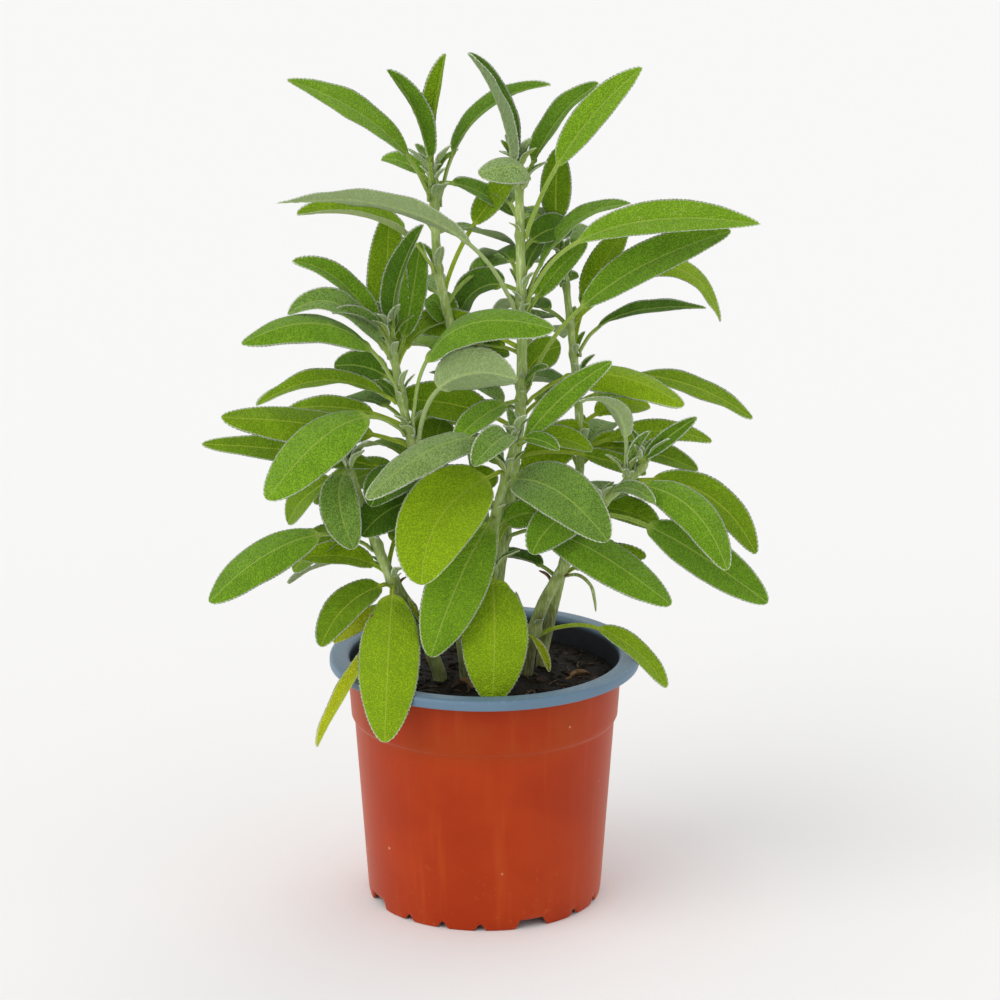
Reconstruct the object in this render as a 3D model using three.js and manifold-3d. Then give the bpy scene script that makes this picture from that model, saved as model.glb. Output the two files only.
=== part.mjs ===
// A pot of common sage: a thin nursery pot with a rolled rim, its compost, and a bushy young plant of
// seven stems whose leaves stand on long stalks. Millimetres, +Z up. The origin is the middle of the
// pot's foot, on the surface that it stands on, and the plant's best side looks along -Y.
import * as THREE from "three";
import { mergeVertices } from "three/addons/utils/BufferGeometryUtils.js";
import Module from "manifold-3d";

// Driving dimensions of the pot and its filling.
const RIM_RADIUS = 60;
const POT_HEIGHT = 98;
const FOOT_RADIUS = 45.5;
const MOUTH_RADIUS = 53.4;
const WALL = 1.2;
const LIP_DROP = 4;
const COLLAR_HEIGHT = 73;
const COLLAR_STEP = 1.1;
const FLOOR_HEIGHT = 7;
const SOIL_EDGE_HEIGHT = 88;
const SOIL_CROWN_HEIGHT = 91;
const GAP = 0.35;

// Driving dimensions of the plant.
const ROOTING_DEPTH = 8;
const STEM_SIDES = 6;
const STEM_STEPS_PER_POINT = 2;
const STALK_HALF_WIDTH = 0.9;
const STALK_ABOVE = 0.5;
const STALK_BELOW = 0.9;
const MIDRIB_ABOVE = 0.25;
const MIDRIB_BELOW = 0.85;
const STALK_STATIONS = [0.02, 0.35, 0.75];
const BLADE_STATIONS = [0.03, 0.11, 0.24, 0.4, 0.56, 0.71, 0.84, 0.94];

const wasm = await Module();
wasm.setup();

const plant = new THREE.Group();

function addMesh(name, geometry, material) {
  const mesh = new THREE.Mesh(geometry, material);
  mesh.name = name;
  plant.add(mesh);
  return mesh;
}

function finish(color, roughness) {
  return new THREE.MeshStandardMaterial({ color, roughness, metalness: 0 });
}

// A closed mesh as a manifold-3d solid, and back.
function solidFrom(geometry) {
  const bare = geometry.clone();
  bare.deleteAttribute("normal");
  bare.deleteAttribute("uv");
  const merged = mergeVertices(bare, 1e-4);
  const vertProperties = new Float32Array(merged.getAttribute("position").array);
  const triVerts = new Uint32Array(merged.index.array);
  return new wasm.Manifold(new wasm.Mesh({ numProp: 3, vertProperties, triVerts }));
}

function geometryFrom(solid) {
  const mesh = solid.getMesh();
  const geometry = new THREE.BufferGeometry();
  geometry.setAttribute("position", new THREE.BufferAttribute(mesh.vertProperties, 3));
  geometry.setIndex(new THREE.BufferAttribute(mesh.triVerts, 1));
  return geometry;
}

// A profile of [radius, height] points, from axis to axis and anticlockwise, turned about +Z.
function turned(profile, sides) {
  const points = profile.map(([radius, height]) => new THREE.Vector2(radius, height));
  return new THREE.LatheGeometry(points, sides).rotateX(Math.PI / 2);
}

// ---------------------------------------------------------------- pot

// Outer radius of the pot's wall: a straight taper, with a small step out at the collar.
function wallRadius(height) {
  const taper = (MOUTH_RADIUS - COLLAR_STEP - FOOT_RADIUS) / POT_HEIGHT;
  const step = height > COLLAR_HEIGHT ? COLLAR_STEP : 0;
  return FOOT_RADIUS + taper * height + step;
}

const neckHeight = POT_HEIGHT - LIP_DROP;
const potProfile = [
  [0, FLOOR_HEIGHT],
  [FOOT_RADIUS - 2.4, FLOOR_HEIGHT],
  [FOOT_RADIUS - 1.8, 0],
  [FOOT_RADIUS, 0],
  [wallRadius(COLLAR_HEIGHT - 1), COLLAR_HEIGHT - 1],
  [wallRadius(COLLAR_HEIGHT + 1), COLLAR_HEIGHT + 1],
  [wallRadius(neckHeight), neckHeight],
  [wallRadius(neckHeight) + 1, POT_HEIGHT - 1.8],
  [RIM_RADIUS - WALL, POT_HEIGHT - 1.8],
  [RIM_RADIUS - WALL, neckHeight],
  [RIM_RADIUS, neckHeight],
  [RIM_RADIUS, POT_HEIGHT - 1.5],
  [RIM_RADIUS - 1.2, POT_HEIGHT - 0.2],
  [RIM_RADIUS - 3, POT_HEIGHT],
  [MOUTH_RADIUS + 1.6, POT_HEIGHT - 0.2],
  [MOUTH_RADIUS, POT_HEIGHT - 1.4],
  [wallRadius(neckHeight) - WALL, neckHeight - 2],
  [wallRadius(COLLAR_HEIGHT + 1) - WALL, COLLAR_HEIGHT + 1],
  [wallRadius(COLLAR_HEIGHT - 1) - WALL, COLLAR_HEIGHT - 1],
  [FOOT_RADIUS - WALL, FLOOR_HEIGHT + 3],
  [FOOT_RADIUS - WALL - 2, FLOOR_HEIGHT + WALL],
  [0, FLOOR_HEIGHT + WALL],
];
const POT_SIDES = 60;

// The foot is a thin skirt. Water leaves through four wide notches in it, with three small
// ones between each two.
const WIDE_NOTCH = { width: 12, height: 3 };
const SMALL_NOTCH = { width: 2.6, height: 1.8 };
const FIRST_WIDE_NOTCH = -66;
const NOTCHES_FROM_WIDE = [
  [0, WIDE_NOTCH],
  [26, SMALL_NOTCH],
  [45, SMALL_NOTCH],
  [64, SMALL_NOTCH],
];

function notch(turn, { width, height }) {
  const box = new THREE.BoxGeometry(8, width, 2 * height);
  box.translate(FOOT_RADIUS, 0, 0);
  return solidFrom(box.rotateZ(THREE.MathUtils.degToRad(turn)));
}

function makePot() {
  let pot = solidFrom(turned(potProfile, POT_SIDES));
  for (let quarter = 0; quarter < 4; quarter++) {
    for (const [offset, size] of NOTCHES_FROM_WIDE) {
      pot = pot.subtract(notch(FIRST_WIDE_NOTCH - 90 * quarter - offset, size));
    }
  }
  return geometryFrom(pot);
}

addMesh("pot", makePot(), finish(0xb5451f, 0.45));

// ---------------------------------------------------------------- compost

// The compost fills the pot to a little under the rim, a bit higher in the middle.
function soilProfile() {
  const inside = (height) => wallRadius(height) - WALL - GAP - 0.15;
  return [
    [0, FLOOR_HEIGHT + WALL + GAP],
    [FOOT_RADIUS - WALL - 4, FLOOR_HEIGHT + WALL + GAP],
    [FOOT_RADIUS - WALL - 1, FLOOR_HEIGHT + 5],
    [inside(COLLAR_HEIGHT - 1.5), COLLAR_HEIGHT - 1.5],
    [inside(COLLAR_HEIGHT - 1.5), COLLAR_HEIGHT + 1.5],
    [inside(COLLAR_HEIGHT + 3), COLLAR_HEIGHT + 3],
    [inside(SOIL_EDGE_HEIGHT), SOIL_EDGE_HEIGHT],
    [38, SOIL_EDGE_HEIGHT + 1],
    [20, SOIL_CROWN_HEIGHT - 0.6],
    [0, SOIL_CROWN_HEIGHT],
  ];
}

// Each stem stands in a hole of its own in the compost.
function rootHole([x, y, z], radius) {
  const depth = ROOTING_DEPTH + GAP + 0.3;
  const hole = new THREE.CylinderGeometry(radius + 0.6, radius + 0.6, 2 * depth, 12);
  return solidFrom(hole.rotateX(Math.PI / 2).translate(x, y, z));
}

// ---------------------------------------------------------------- plant shapes

// A closed skin over a row of rings with the same number of points, from one end point to the
// other. Seen from the far end, each ring runs anticlockwise.
function loft(start, rings, end) {
  const count = rings[0].length;
  const points = [start, ...rings.flat(), end];
  const last = points.length - 1;
  const faces = [];
  for (let side = 0; side < count; side++) {
    const next = (side + 1) % count;
    faces.push(0, 1 + next, 1 + side);
    for (let ring = 0; ring + 1 < rings.length; ring++) {
      const low = 1 + ring * count;
      const high = low + count;
      faces.push(low + side, low + next, high + next);
      faces.push(low + side, high + next, high + side);
    }
    faces.push(last - count + side, last - count + next, last);
  }
  const geometry = new THREE.BufferGeometry().setFromPoints(points);
  geometry.setIndex(faces);
  return geometry;
}

// A stem: a round tube along a smooth line, thick at the foot and thin at the top. It starts
// straight up, rooted in the compost.
function stemCurve(path) {
  const [x, y, z] = path[0];
  const rooted = [[x, y, z - ROOTING_DEPTH], ...path];
  return new THREE.CatmullRomCurve3(rooted.map((p) => new THREE.Vector3(...p)), false, "centripetal");
}

function stemGeometry(curve, path, { foot, top }) {
  const steps = STEM_STEPS_PER_POINT * path.length;
  const frames = curve.computeFrenetFrames(steps);
  const rings = [];
  for (let step = 0; step <= steps; step++) {
    const radius = THREE.MathUtils.lerp(foot, top, step / steps);
    const centre = curve.getPointAt(step / steps);
    const ring = [];
    for (let side = 0; side < STEM_SIDES; side++) {
      const angle = (2 * Math.PI * side) / STEM_SIDES;
      const point = centre.clone();
      point.addScaledVector(frames.normals[step], radius * Math.cos(angle));
      point.addScaledVector(frames.binormals[step], radius * Math.sin(angle));
      ring.push(point);
    }
    rings.push(ring);
  }
  const end = curve.getPointAt(1).addScaledVector(frames.tangents[steps], top / 2);
  return loft(curve.getPointAt(0), rings, end);
}

// Where a stem's line passes a height, its direction there, and how thick it is.
function stemAt(curve, { foot, top }, height) {
  let low = 0;
  let high = 1;
  for (let halving = 0; halving < 20; halving++) {
    const middle = (low + high) / 2;
    if (curve.getPointAt(middle).z < height) low = middle;
    else high = middle;
  }
  return {
    point: curve.getPointAt(low),
    tangent: curve.getTangentAt(low),
    radius: THREE.MathUtils.lerp(foot, top, low),
  };
}

// Half the width of a sage blade, as a share of its widest, from its base at 0 to its tip at 1.
function bladeOutline(along) {
  return Math.sin(Math.PI * along ** 0.88) ** 0.65;
}

// A leaf is a grooved stalk that runs on as the midrib of a thin blade. Each cross-section has
// four corners: right margin, underside, left margin and upper side.
//   at      height on the stem where the stalk leaves it
//   tip     where the leaf ends
//   bow     how far the middle of the leaf stands off a straight line
//   lead    how far along it that bend is, from 0 to 1
//   stalk   length of the bare stalk, as a share of the whole
//   width   across the blade
//   faces   the way that the upper side looks
//   fold    how far each half of the blade is lifted, in degrees
function leafGeometry(stem, row) {
  const { at, tip, bow, lead = 0.5, stalk, width, faces, fold = 0 } = row;
  const { point, tangent: upStem, radius } = stemAt(stem.curve, stem.thickness, at);
  const end = new THREE.Vector3(...tip);
  const pull = point.clone().lerp(end, lead).addScaledVector(new THREE.Vector3(...bow), 2);
  const outward = pull.clone().sub(point);
  outward.addScaledVector(upStem, -outward.dot(upStem)).normalize();
  const start = point.clone().addScaledVector(outward, radius + STALK_HALF_WIDTH + GAP);
  const line = new THREE.QuadraticBezierCurve3(start, pull, end);

  const stations = [
    ...STALK_STATIONS.map((share) => ({ along: share * stalk, blade: 0 })),
    ...BLADE_STATIONS.map((share) => ({ along: stalk + share * (1 - stalk), blade: share })),
  ];
  const middle = line.getTangentAt(stalk + (1 - stalk) / 2);
  let up = new THREE.Vector3(...faces);
  up.addScaledVector(middle, -up.dot(middle)).normalize();

  // The upper side is carried along the line without twisting, both ways from the middle.
  function carried(from, to, steps = 12) {
    const side = up.clone();
    for (let step = 1; step <= steps; step++) {
      const tangent = line.getTangentAt(THREE.MathUtils.lerp(from, to, step / steps));
      side.addScaledVector(tangent, -side.dot(tangent)).normalize();
    }
    return side;
  }

  const lift = THREE.MathUtils.degToRad(fold);
  const rings = stations.map(({ along, blade }) => {
    const centre = line.getPointAt(along);
    const tangent = line.getTangentAt(along);
    const above = carried(stalk + (1 - stalk) / 2, along);
    const across = tangent.clone().cross(above);
    const half = Math.max(STALK_HALF_WIDTH, (width / 2) * bladeOutline(blade));
    const lifted = blade > 0 ? lift : 0;
    const high = blade > 0 ? MIDRIB_ABOVE : STALK_ABOVE;
    const low = blade > 0 ? MIDRIB_BELOW * (1 - 0.5 * blade) : STALK_BELOW;
    const margin = centre.clone().addScaledVector(above, half * Math.sin(lifted));
    return [
      margin.clone().addScaledVector(across, half * Math.cos(lifted)),
      centre.clone().addScaledVector(above, -low),
      margin.clone().addScaledVector(across, -half * Math.cos(lifted)),
      centre.clone().addScaledVector(above, high),
    ];
  });
  return loft(start, rings, end);
}

// ---------------------------------------------------------------- stems and their leaves

const OLD_LEAF = finish(0x6d9122, 0.75);
const GREEN_LEAF = finish(0x4f8420, 0.75);
const YOUNG_LEAF = finish(0x5f8f52, 0.8);
const STEM = finish(0xa9bf74, 0.8);

const stems = {
  tall_stem: {
    thickness: { foot: 2.6, top: 1.5 },
    path: [[4, 3, 91], [5, 2, 124], [8, 2, 146], [11, 2, 169], [14, 0, 198], [14, 0, 236], [13, 0, 289]],
    leaves: [
      { at: 286, tip: [-6, -6, 332], bow: [3, 0, 2], stalk: 0.06, width: 14, faces: [7, -2, 7], fold: 45 },
      {
        at: 262, tip: [58, -14, 328], bow: [-5, 0, 2],
        stalk: 0.38, width: 14, faces: [-3, -8, 4], fold: 15,
      },
      { at: 283, tip: [42, 4, 320], bow: [-2, 1, 2], stalk: 0.15, width: 13, faces: [-6, -5, 6], fold: 20 },
      {
        at: 281, tip: [-2, -22, 290], bow: [7, -3, 6], lead: 0.3,
        stalk: 0.2, width: 14, faces: [2, -6, 7], fold: -15,
      },
      { at: 239, tip: [55, 2, 275], bow: [-4, 3, 7], stalk: 0.2, width: 14, faces: [-3, -2, 8], fold: 10 },
      {
        at: 235, tip: [102, -24, 272], bow: [0, -3, 19], lead: 0.15,
        stalk: 0.32, width: 16, faces: [0, -7, 7], fold: 12,
      },
      {
        at: 204, tip: [92, -10, 266], bow: [-4, -2, 12], lead: 0.3,
        stalk: 0.37, width: 17, faces: [0, -7, 7], fold: 8,
      },
      {
        at: 232, tip: [-76, -34, 283], bow: [-2, -4, 22], lead: 0.15,
        stalk: 0.3, width: 15, faces: [0, 6, 8], fold: 5,
      },
      {
        at: 198, tip: [75, -22, 202], bow: [0, -1, 12], lead: 0.4,
        stalk: 0.25, width: 15, faces: [0, -6, 8], fold: -10,
      },
      {
        at: 144, tip: [70, -42, 130], bow: [-1, -6, 12], lead: 0.3,
        stalk: 0.25, width: 19, faces: [1, -7, 7], fold: -6,
      },
    ],
  },
  upper_left_stem: {
    thickness: { foot: 2.2, top: 1.5 },
    path: [
      [2, 9, 91], [1, 9, 120], [0, 9, 148], [-4, 8, 172],
      [-8, 7, 195], [-13, 5, 228], [-17, 4, 245], [-19, 3, 286],
    ],
    leaves: [
      {
        at: 276, tip: [-72, -16, 324], bow: [1, -2, 10], lead: 0.22,
        stalk: 0.24, width: 14.5, faces: [2, -6, 8], fold: 8,
      },
      { at: 281, tip: [-35, -6, 326], bow: [3, 0, 2], stalk: 0.2, width: 12, faces: [5, -6, 5], fold: 35 },
      { at: 284, tip: [-14, 5, 330], bow: [-2, 1, 0], stalk: 0.2, width: 11, faces: [-6, -7, 0], fold: 30 },
      {
        at: 273, tip: [25, 7, 318], bow: [-1, 2, 16], lead: 0.2,
        stalk: 0.28, width: 13, faces: [-3, -3, 8], fold: 20,
      },
      {
        at: 248, tip: [-69, -20, 275], bow: [2, -2, 10], lead: 0.3,
        stalk: 0.28, width: 16, faces: [-2, -3, 9], fold: 20,
      },
    ],
  },
  left_stem: {
    thickness: { foot: 2.4, top: 1.4 },
    path: [
      [-7, -10, 91], [-11, -12, 122], [-17, -14, 150], [-23, -15, 174],
      [-28, -15, 189], [-33, -13, 214], [-36, -12, 229],
    ],
    leaves: [
      {
        at: 191, tip: [26, -40, 236], bow: [1, -5, 28], lead: 0,
        stalk: 0.33, width: 18, faces: [0, -6, 8], fold: -10,
      },
      {
        at: 186, tip: [13, -34, 216], bow: [3, -4, 18], lead: 0,
        stalk: 0.42, width: 20, faces: [0, 9, 3], fold: 10,
      },
      { at: 204, tip: [-35, 2, 272], bow: [-3, 4, 0], stalk: 0.2, width: 16, faces: [0, -9, 2] },
      {
        at: 225, tip: [-22, -18, 270], bow: [-4, 0, 0],
        stalk: 0.08, width: 12, faces: [-6, -6, 2], fold: 25,
      },
      {
        at: 228, tip: [-71, -13, 256], bow: [0, 3, 5],
        stalk: 0.05, width: 12, faces: [-1, -4, 8], fold: 20,
      },
      {
        at: 219, tip: [-73, -26, 238], bow: [0, -5, 13],
        stalk: 0.1, width: 14, faces: [0, -5, 9], fold: 5,
      },
      {
        at: 206, tip: [-89, -40, 230], bow: [-3, -7, 20], lead: 0.2,
        stalk: 0.28, width: 15.5, faces: [0, -6, 8], fold: -12,
      },
      {
        at: 202, tip: [-85, -26, 203], bow: [0, 0, 9],
        stalk: 0.05, width: 11, faces: [0, -4, 9], fold: 10,
      },
      {
        at: 186, tip: [-98, -26, 199], bow: [0, 0, 2], lead: 0.3,
        stalk: 0.18, width: 16, faces: [0, -7, 7], fold: -5,
      },
      {
        at: 172, tip: [-107, -10, 184], bow: [0, 0, 3], lead: 0.4,
        stalk: 0.18, width: 12, faces: [0, -7, 7],
      },
      {
        at: 190, tip: [-80, -52, 174], bow: [-2, 0, 14], lead: 0.3,
        stalk: 0.25, width: 23, faces: [-4, -8, 5], fold: -4,
      },
      { at: 174, tip: [-42, -41, 168], bow: [-2, -2, 4], stalk: 0.1, width: 17, faces: [0, -6, 7] },
      { at: 165, tip: [-46, -32, 154], bow: [-2, -2, 3], stalk: 0.1, width: 18, faces: [0, -7, 6] },
    ],
  },
  lower_left_stem: {
    thickness: { foot: 2.6, top: 1.5 },
    path: [
      [-17, -12, 91], [-27, -14, 117], [-35, -16, 132],
      [-41, -18, 147], [-46, -20, 162], [-51, -20, 178],
    ],
    leaves: [
      {
        at: 177, tip: [-49, -34, 149], bow: [-4, -4, 5],
        stalk: 0.05, width: 16, faces: [-2, -9, 2], fold: 5,
      },
      {
        at: 146, tip: [-103, -46, 133], bow: [-1, -2, 13], lead: 0.35,
        stalk: 0.32, width: 19, faces: [-1, -6, 8], fold: -6,
      },
      {
        at: 132, tip: [-62, -34, 111], bow: [-3, -2, 4],
        stalk: 0.06, width: 15, faces: [-2, -7, 6], fold: 5,
      },
      {
        at: 120, tip: [-63, -46, 75], bow: [-3, -4, 2],
        stalk: 0.15, width: 9, faces: [-6, -6, 3], fold: 20,
      },
      {
        at: 131, tip: [-37, -60, 82], bow: [0, -8, 5],
        stalk: 0.08, width: 24, faces: [-1, -9, 3], fold: -5,
      },
    ],
  },
  front_stem: {
    thickness: { foot: 2.4, top: 1.5 },
    path: [[1, -12, 91], [2, -13, 115], [3, -14, 138], [5, -15, 160], [8, -16, 172], [12, -18, 188]],
    leaves: [
      {
        at: 186, tip: [-43, -58, 176], bow: [-4, -2, 9], lead: 0.3,
        stalk: 0.1, width: 16, faces: [-1, -6, 8], fold: -5,
      },
      {
        at: 187, tip: [47, -36, 222], bow: [-1, 0, 2],
        stalk: 0.05, width: 11, faces: [2, -8, 4], fold: 10,
      },
      {
        at: 175, tip: [-23, -52, 141], bow: [-8, -4, 6],
        stalk: 0.12, width: 30, faces: [0, -8, 5], fold: 3,
      },
      { at: 173, tip: [46, -52, 158], bow: [0, -4, 8], stalk: 0.04, width: 22, faces: [0, -8, 6], fold: 3 },
      { at: 157, tip: [-20, -44, 110], bow: [-1, -6, 5], stalk: 0.06, width: 23, faces: [1, -9, 3] },
      { at: 135, tip: [3, -46, 92], bow: [1, -6, 4], stalk: 0.06, width: 26, faces: [0, -9, 3], fold: -3 },
    ],
  },
  right_stem: {
    thickness: { foot: 2.2, top: 1.2 },
    path: [
      [22, 5, 91], [28, 6, 120], [34, 8, 148], [37, 10, 175],
      [36, 12, 194], [34, 13, 214], [30, 14, 250],
    ],
    leaves: [
      { at: 240, tip: [28, 13, 293], bow: [-2, 2, 0], stalk: 0.45, width: 12, faces: [0, -9, 2] },
      {
        at: 226, tip: [92, 30, 222], bow: [4, 1, 21], lead: 0.6,
        stalk: 0.35, width: 11, faces: [0, -5, 8],
      },
      {
        at: 213, tip: [84, 2, 234], bow: [-1, -1, 9], lead: 0.2,
        stalk: 0.22, width: 9, faces: [0, -4, 9], fold: 10,
      },
      { at: 203, tip: [103, 6, 190], bow: [0, 0, 8], stalk: 0.3, width: 11, faces: [0, -5, 8] },
      { at: 177, tip: [88, 14, 179], bow: [0, 0, 5], stalk: 0.15, width: 11, faces: [0, -6, 8] },
    ],
  },
  lower_right_stem: {
    thickness: { foot: 2.8, top: 1.5 },
    path: [
      [16, -5, 91], [21, -6, 115], [29, -8, 132], [38, -10, 149],
      [45, -12, 161], [51, -13, 167], [62, -14, 178],
    ],
    leaves: [
      { at: 171, tip: [35, -30, 207], bow: [6, 0, 9], stalk: 0.35, width: 11, faces: [4, 6, 5], fold: 10 },
      { at: 176, tip: [80, -20, 197], bow: [-1, 0, 1], stalk: 0.08, width: 7, faces: [2, -8, 4], fold: 15 },
      {
        at: 171, tip: [91, -40, 143], bow: [4, -3, 8],
        stalk: 0.08, width: 16, faces: [-2, -6, 8], fold: -6,
      },
      { at: 172, tip: [104, -12, 141], bow: [4, 2, 8], stalk: 0.1, width: 14, faces: [-2, -7, 7] },
      {
        at: 158, tip: [107, -30, 127], bow: [0, -2, 6], lead: 0.3,
        stalk: 0.25, width: 18, faces: [-1, -7, 7],
      },
      { at: 161, tip: [18, -36, 148], bow: [-4, -4, 4], stalk: 0.1, width: 17, faces: [1, -8, 5] },
      {
        at: 108, tip: [71, -8, 86], bow: [0, 0, 12], lead: 0.55,
        stalk: 0.38, width: 11, faces: [3, -5, 7], fold: 5,
      },
    ],
  },
};

let soil = solidFrom(turned(soilProfile(), 40));

for (const [stemName, { thickness, path, leaves }] of Object.entries(stems)) {
  const curve = stemCurve(path);
  addMesh(stemName, stemGeometry(curve, path, thickness), STEM);
  soil = soil.subtract(rootHole(path[0], thickness.foot));
  leaves.forEach((row, index) => {
    const material = row.width > 20 ? OLD_LEAF : row.at > 190 ? YOUNG_LEAF : GREEN_LEAF;
    addMesh(`${stemName}_leaf_${index + 1}`, leafGeometry({ curve, thickness }, row), material);
  });
}

addMesh("soil", geometryFrom(soil), finish(0x241a15, 1));

export default plant;
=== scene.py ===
# %% [markdown]
# # A pot of common sage
# The object is a bushy young sage plant in a thin nursery pot. The frame brings its solids at their
# real size and place: a pot, the compost, seven stems and fifty-one leaves, all of them coarse.
# Here each one is made again as the eye meets it, from the shape that its solid gives. The order is
# camera and light first, then the tools for finishes and shapes, and then pot, compost, stems and
# leaves.

# %% Load the frame
import math
import random

import bmesh
import bpy
from mathutils import Matrix, Vector, noise


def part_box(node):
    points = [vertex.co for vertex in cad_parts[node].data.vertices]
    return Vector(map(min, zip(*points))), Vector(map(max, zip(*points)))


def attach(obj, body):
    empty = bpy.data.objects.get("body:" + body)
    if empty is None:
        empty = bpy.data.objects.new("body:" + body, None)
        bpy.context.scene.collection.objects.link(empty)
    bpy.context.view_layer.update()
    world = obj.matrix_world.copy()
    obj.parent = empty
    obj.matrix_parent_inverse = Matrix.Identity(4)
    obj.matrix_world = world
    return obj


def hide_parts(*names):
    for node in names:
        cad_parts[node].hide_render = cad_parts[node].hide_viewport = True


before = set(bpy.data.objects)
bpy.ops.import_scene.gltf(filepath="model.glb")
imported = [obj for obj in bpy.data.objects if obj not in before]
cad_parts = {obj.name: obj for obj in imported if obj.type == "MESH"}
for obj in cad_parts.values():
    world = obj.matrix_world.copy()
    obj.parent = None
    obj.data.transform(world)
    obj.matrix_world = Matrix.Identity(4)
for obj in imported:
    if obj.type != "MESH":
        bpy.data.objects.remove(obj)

MM = 0.001
# Vector noise starts from the clock unless it is given a seed, and then no two runs are alike.
NOISE_SEED = 5
noise.seed_set(NOISE_SEED)
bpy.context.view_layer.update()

# %% [markdown]
# ## Camera
# A plant portrait is taken from a little above the leaves with a long lens, so that near and far
# leaves keep their sizes. The camera stands 1.35 m in front of the pot and tips down by sixteen
# degrees. A long lens is chosen over a close camera, because a close one would make the front leaves
# look too big.

# %% Camera
CAMERA_PLACE = (6 * MM, -1350 * MM, 546 * MM)
CAMERA_TILT = math.radians(74)
CAMERA_LENS = 132.05
SENSOR_WIDTH = 36

camera_data = bpy.data.cameras.new("camera")
camera_data.lens = CAMERA_LENS
camera_data.sensor_width = SENSOR_WIDTH
camera = bpy.data.objects.new("camera", camera_data)
camera.location = CAMERA_PLACE
camera.rotation_euler = (CAMERA_TILT, 0, 0)
bpy.context.scene.collection.objects.link(camera)
bpy.context.scene.camera = camera
print("camera:", CAMERA_PLACE, "lens", CAMERA_LENS)

# %% [markdown]
# ## Soft light
# Sage leaves are matt and felted, and hard light would burn out their pale edges. So the light is
# that of a white studio: bright walls all round that dim towards the ceiling, and one broad lamp
# high at the left front, with a weak one behind to light the leaves' woolly edges. Sun lamps with a
# wide angle are used, because an area lamp close by would leave a bright pool on the floor.

# %% Lamps and surround
LAMP_COLOUR = (1.0, 0.965, 0.92)
LAMPS = {
    # name: where it shines from, strength, apparent width in degrees
    "key_lamp": ((-0.95, -0.7, 1.1), 0.9, 50),
    "back_lamp": ((0.5, 0.8, 1.0), 0.3, 40),
}
for name, (place, strength, width) in LAMPS.items():
    lamp_data = bpy.data.lights.new(name, "SUN")
    lamp_data.energy = strength
    lamp_data.angle = math.radians(width)
    lamp_data.color = LAMP_COLOUR
    lamp = bpy.data.objects.new(name, lamp_data)
    lamp.location = place
    lamp.rotation_euler = (-Vector(place)).to_track_quat("-Z", "Y").to_euler()
    bpy.context.scene.collection.objects.link(lamp)

WALL_GLOW = 0.925
CEILING_GLOW = 0.73
GLOW_COLOUR = (0.985, 0.99, 1, 1)
WALLS_END, CEILING_STARTS = 0.15, 0.85
surround = bpy.data.worlds.new("studio")
surround.use_nodes = True
studio = surround.node_tree
glow = studio.nodes["Background"]
glow.inputs["Color"].default_value = GLOW_COLOUR
compass = studio.nodes.new("ShaderNodeTexCoord")
axes = studio.nodes.new("ShaderNodeSeparateXYZ")
climb = studio.nodes.new("ShaderNodeMapRange")
climb.interpolation_type = "SMOOTHSTEP"
for socket, value in zip(climb.inputs[1:5], (WALLS_END, CEILING_STARTS, WALL_GLOW, CEILING_GLOW)):
    socket.default_value = value
studio.links.new(compass.outputs["Generated"], axes.inputs[0])
studio.links.new(axes.outputs["Z"], climb.inputs["Value"])
studio.links.new(climb.outputs[0], glow.inputs["Strength"])
bpy.context.scene.world = surround
bpy.context.scene.view_settings.view_transform = "Standard"
print("lamps:", len(LAMPS))

# %% [markdown]
# ## Writing a finish as sums
# A finish is a small network of nodes. Drawn by hand it is easy to read, but written as code it soon
# hides what it means. So `Wire` wraps one socket and lets Python's own operators add Math nodes, and
# `Finish.node` makes any other node: its settings are set first and its sockets after that.

# %% The Wire and Finish classes
class Wire:
    """One value in a finish. Sums on it add Math nodes."""

    def __init__(self, finish, socket):
        self.finish = finish
        self.socket = socket

    def math(self, operation, *others, clamp=False):
        settings = {"operation": operation, "use_clamp": clamp}
        return self.finish.node("Math", settings, self, *others)

    def __add__(self, other):
        return self.math("ADD", other)

    def __sub__(self, other):
        return self.math("SUBTRACT", other)

    def __rsub__(self, other):
        return self.finish.node("Math", {"operation": "SUBTRACT"}, other, self)

    def __mul__(self, other):
        return self.math("MULTIPLY", other)

    def __truediv__(self, other):
        return self.math("DIVIDE", other)

    def __abs__(self):
        return self.math("ABSOLUTE")

    __radd__ = __add__
    __rmul__ = __mul__

    def ramp(self, low, high):
        """0 below low and 1 above high, with a smooth step between."""
        settings = {"interpolation_type": "SMOOTHSTEP"}
        return self.finish.node("MapRange", settings, self, low, high, 0.0, 1.0)

    def held(self):
        return self.math("ADD", 0.0, clamp=True)


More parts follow.
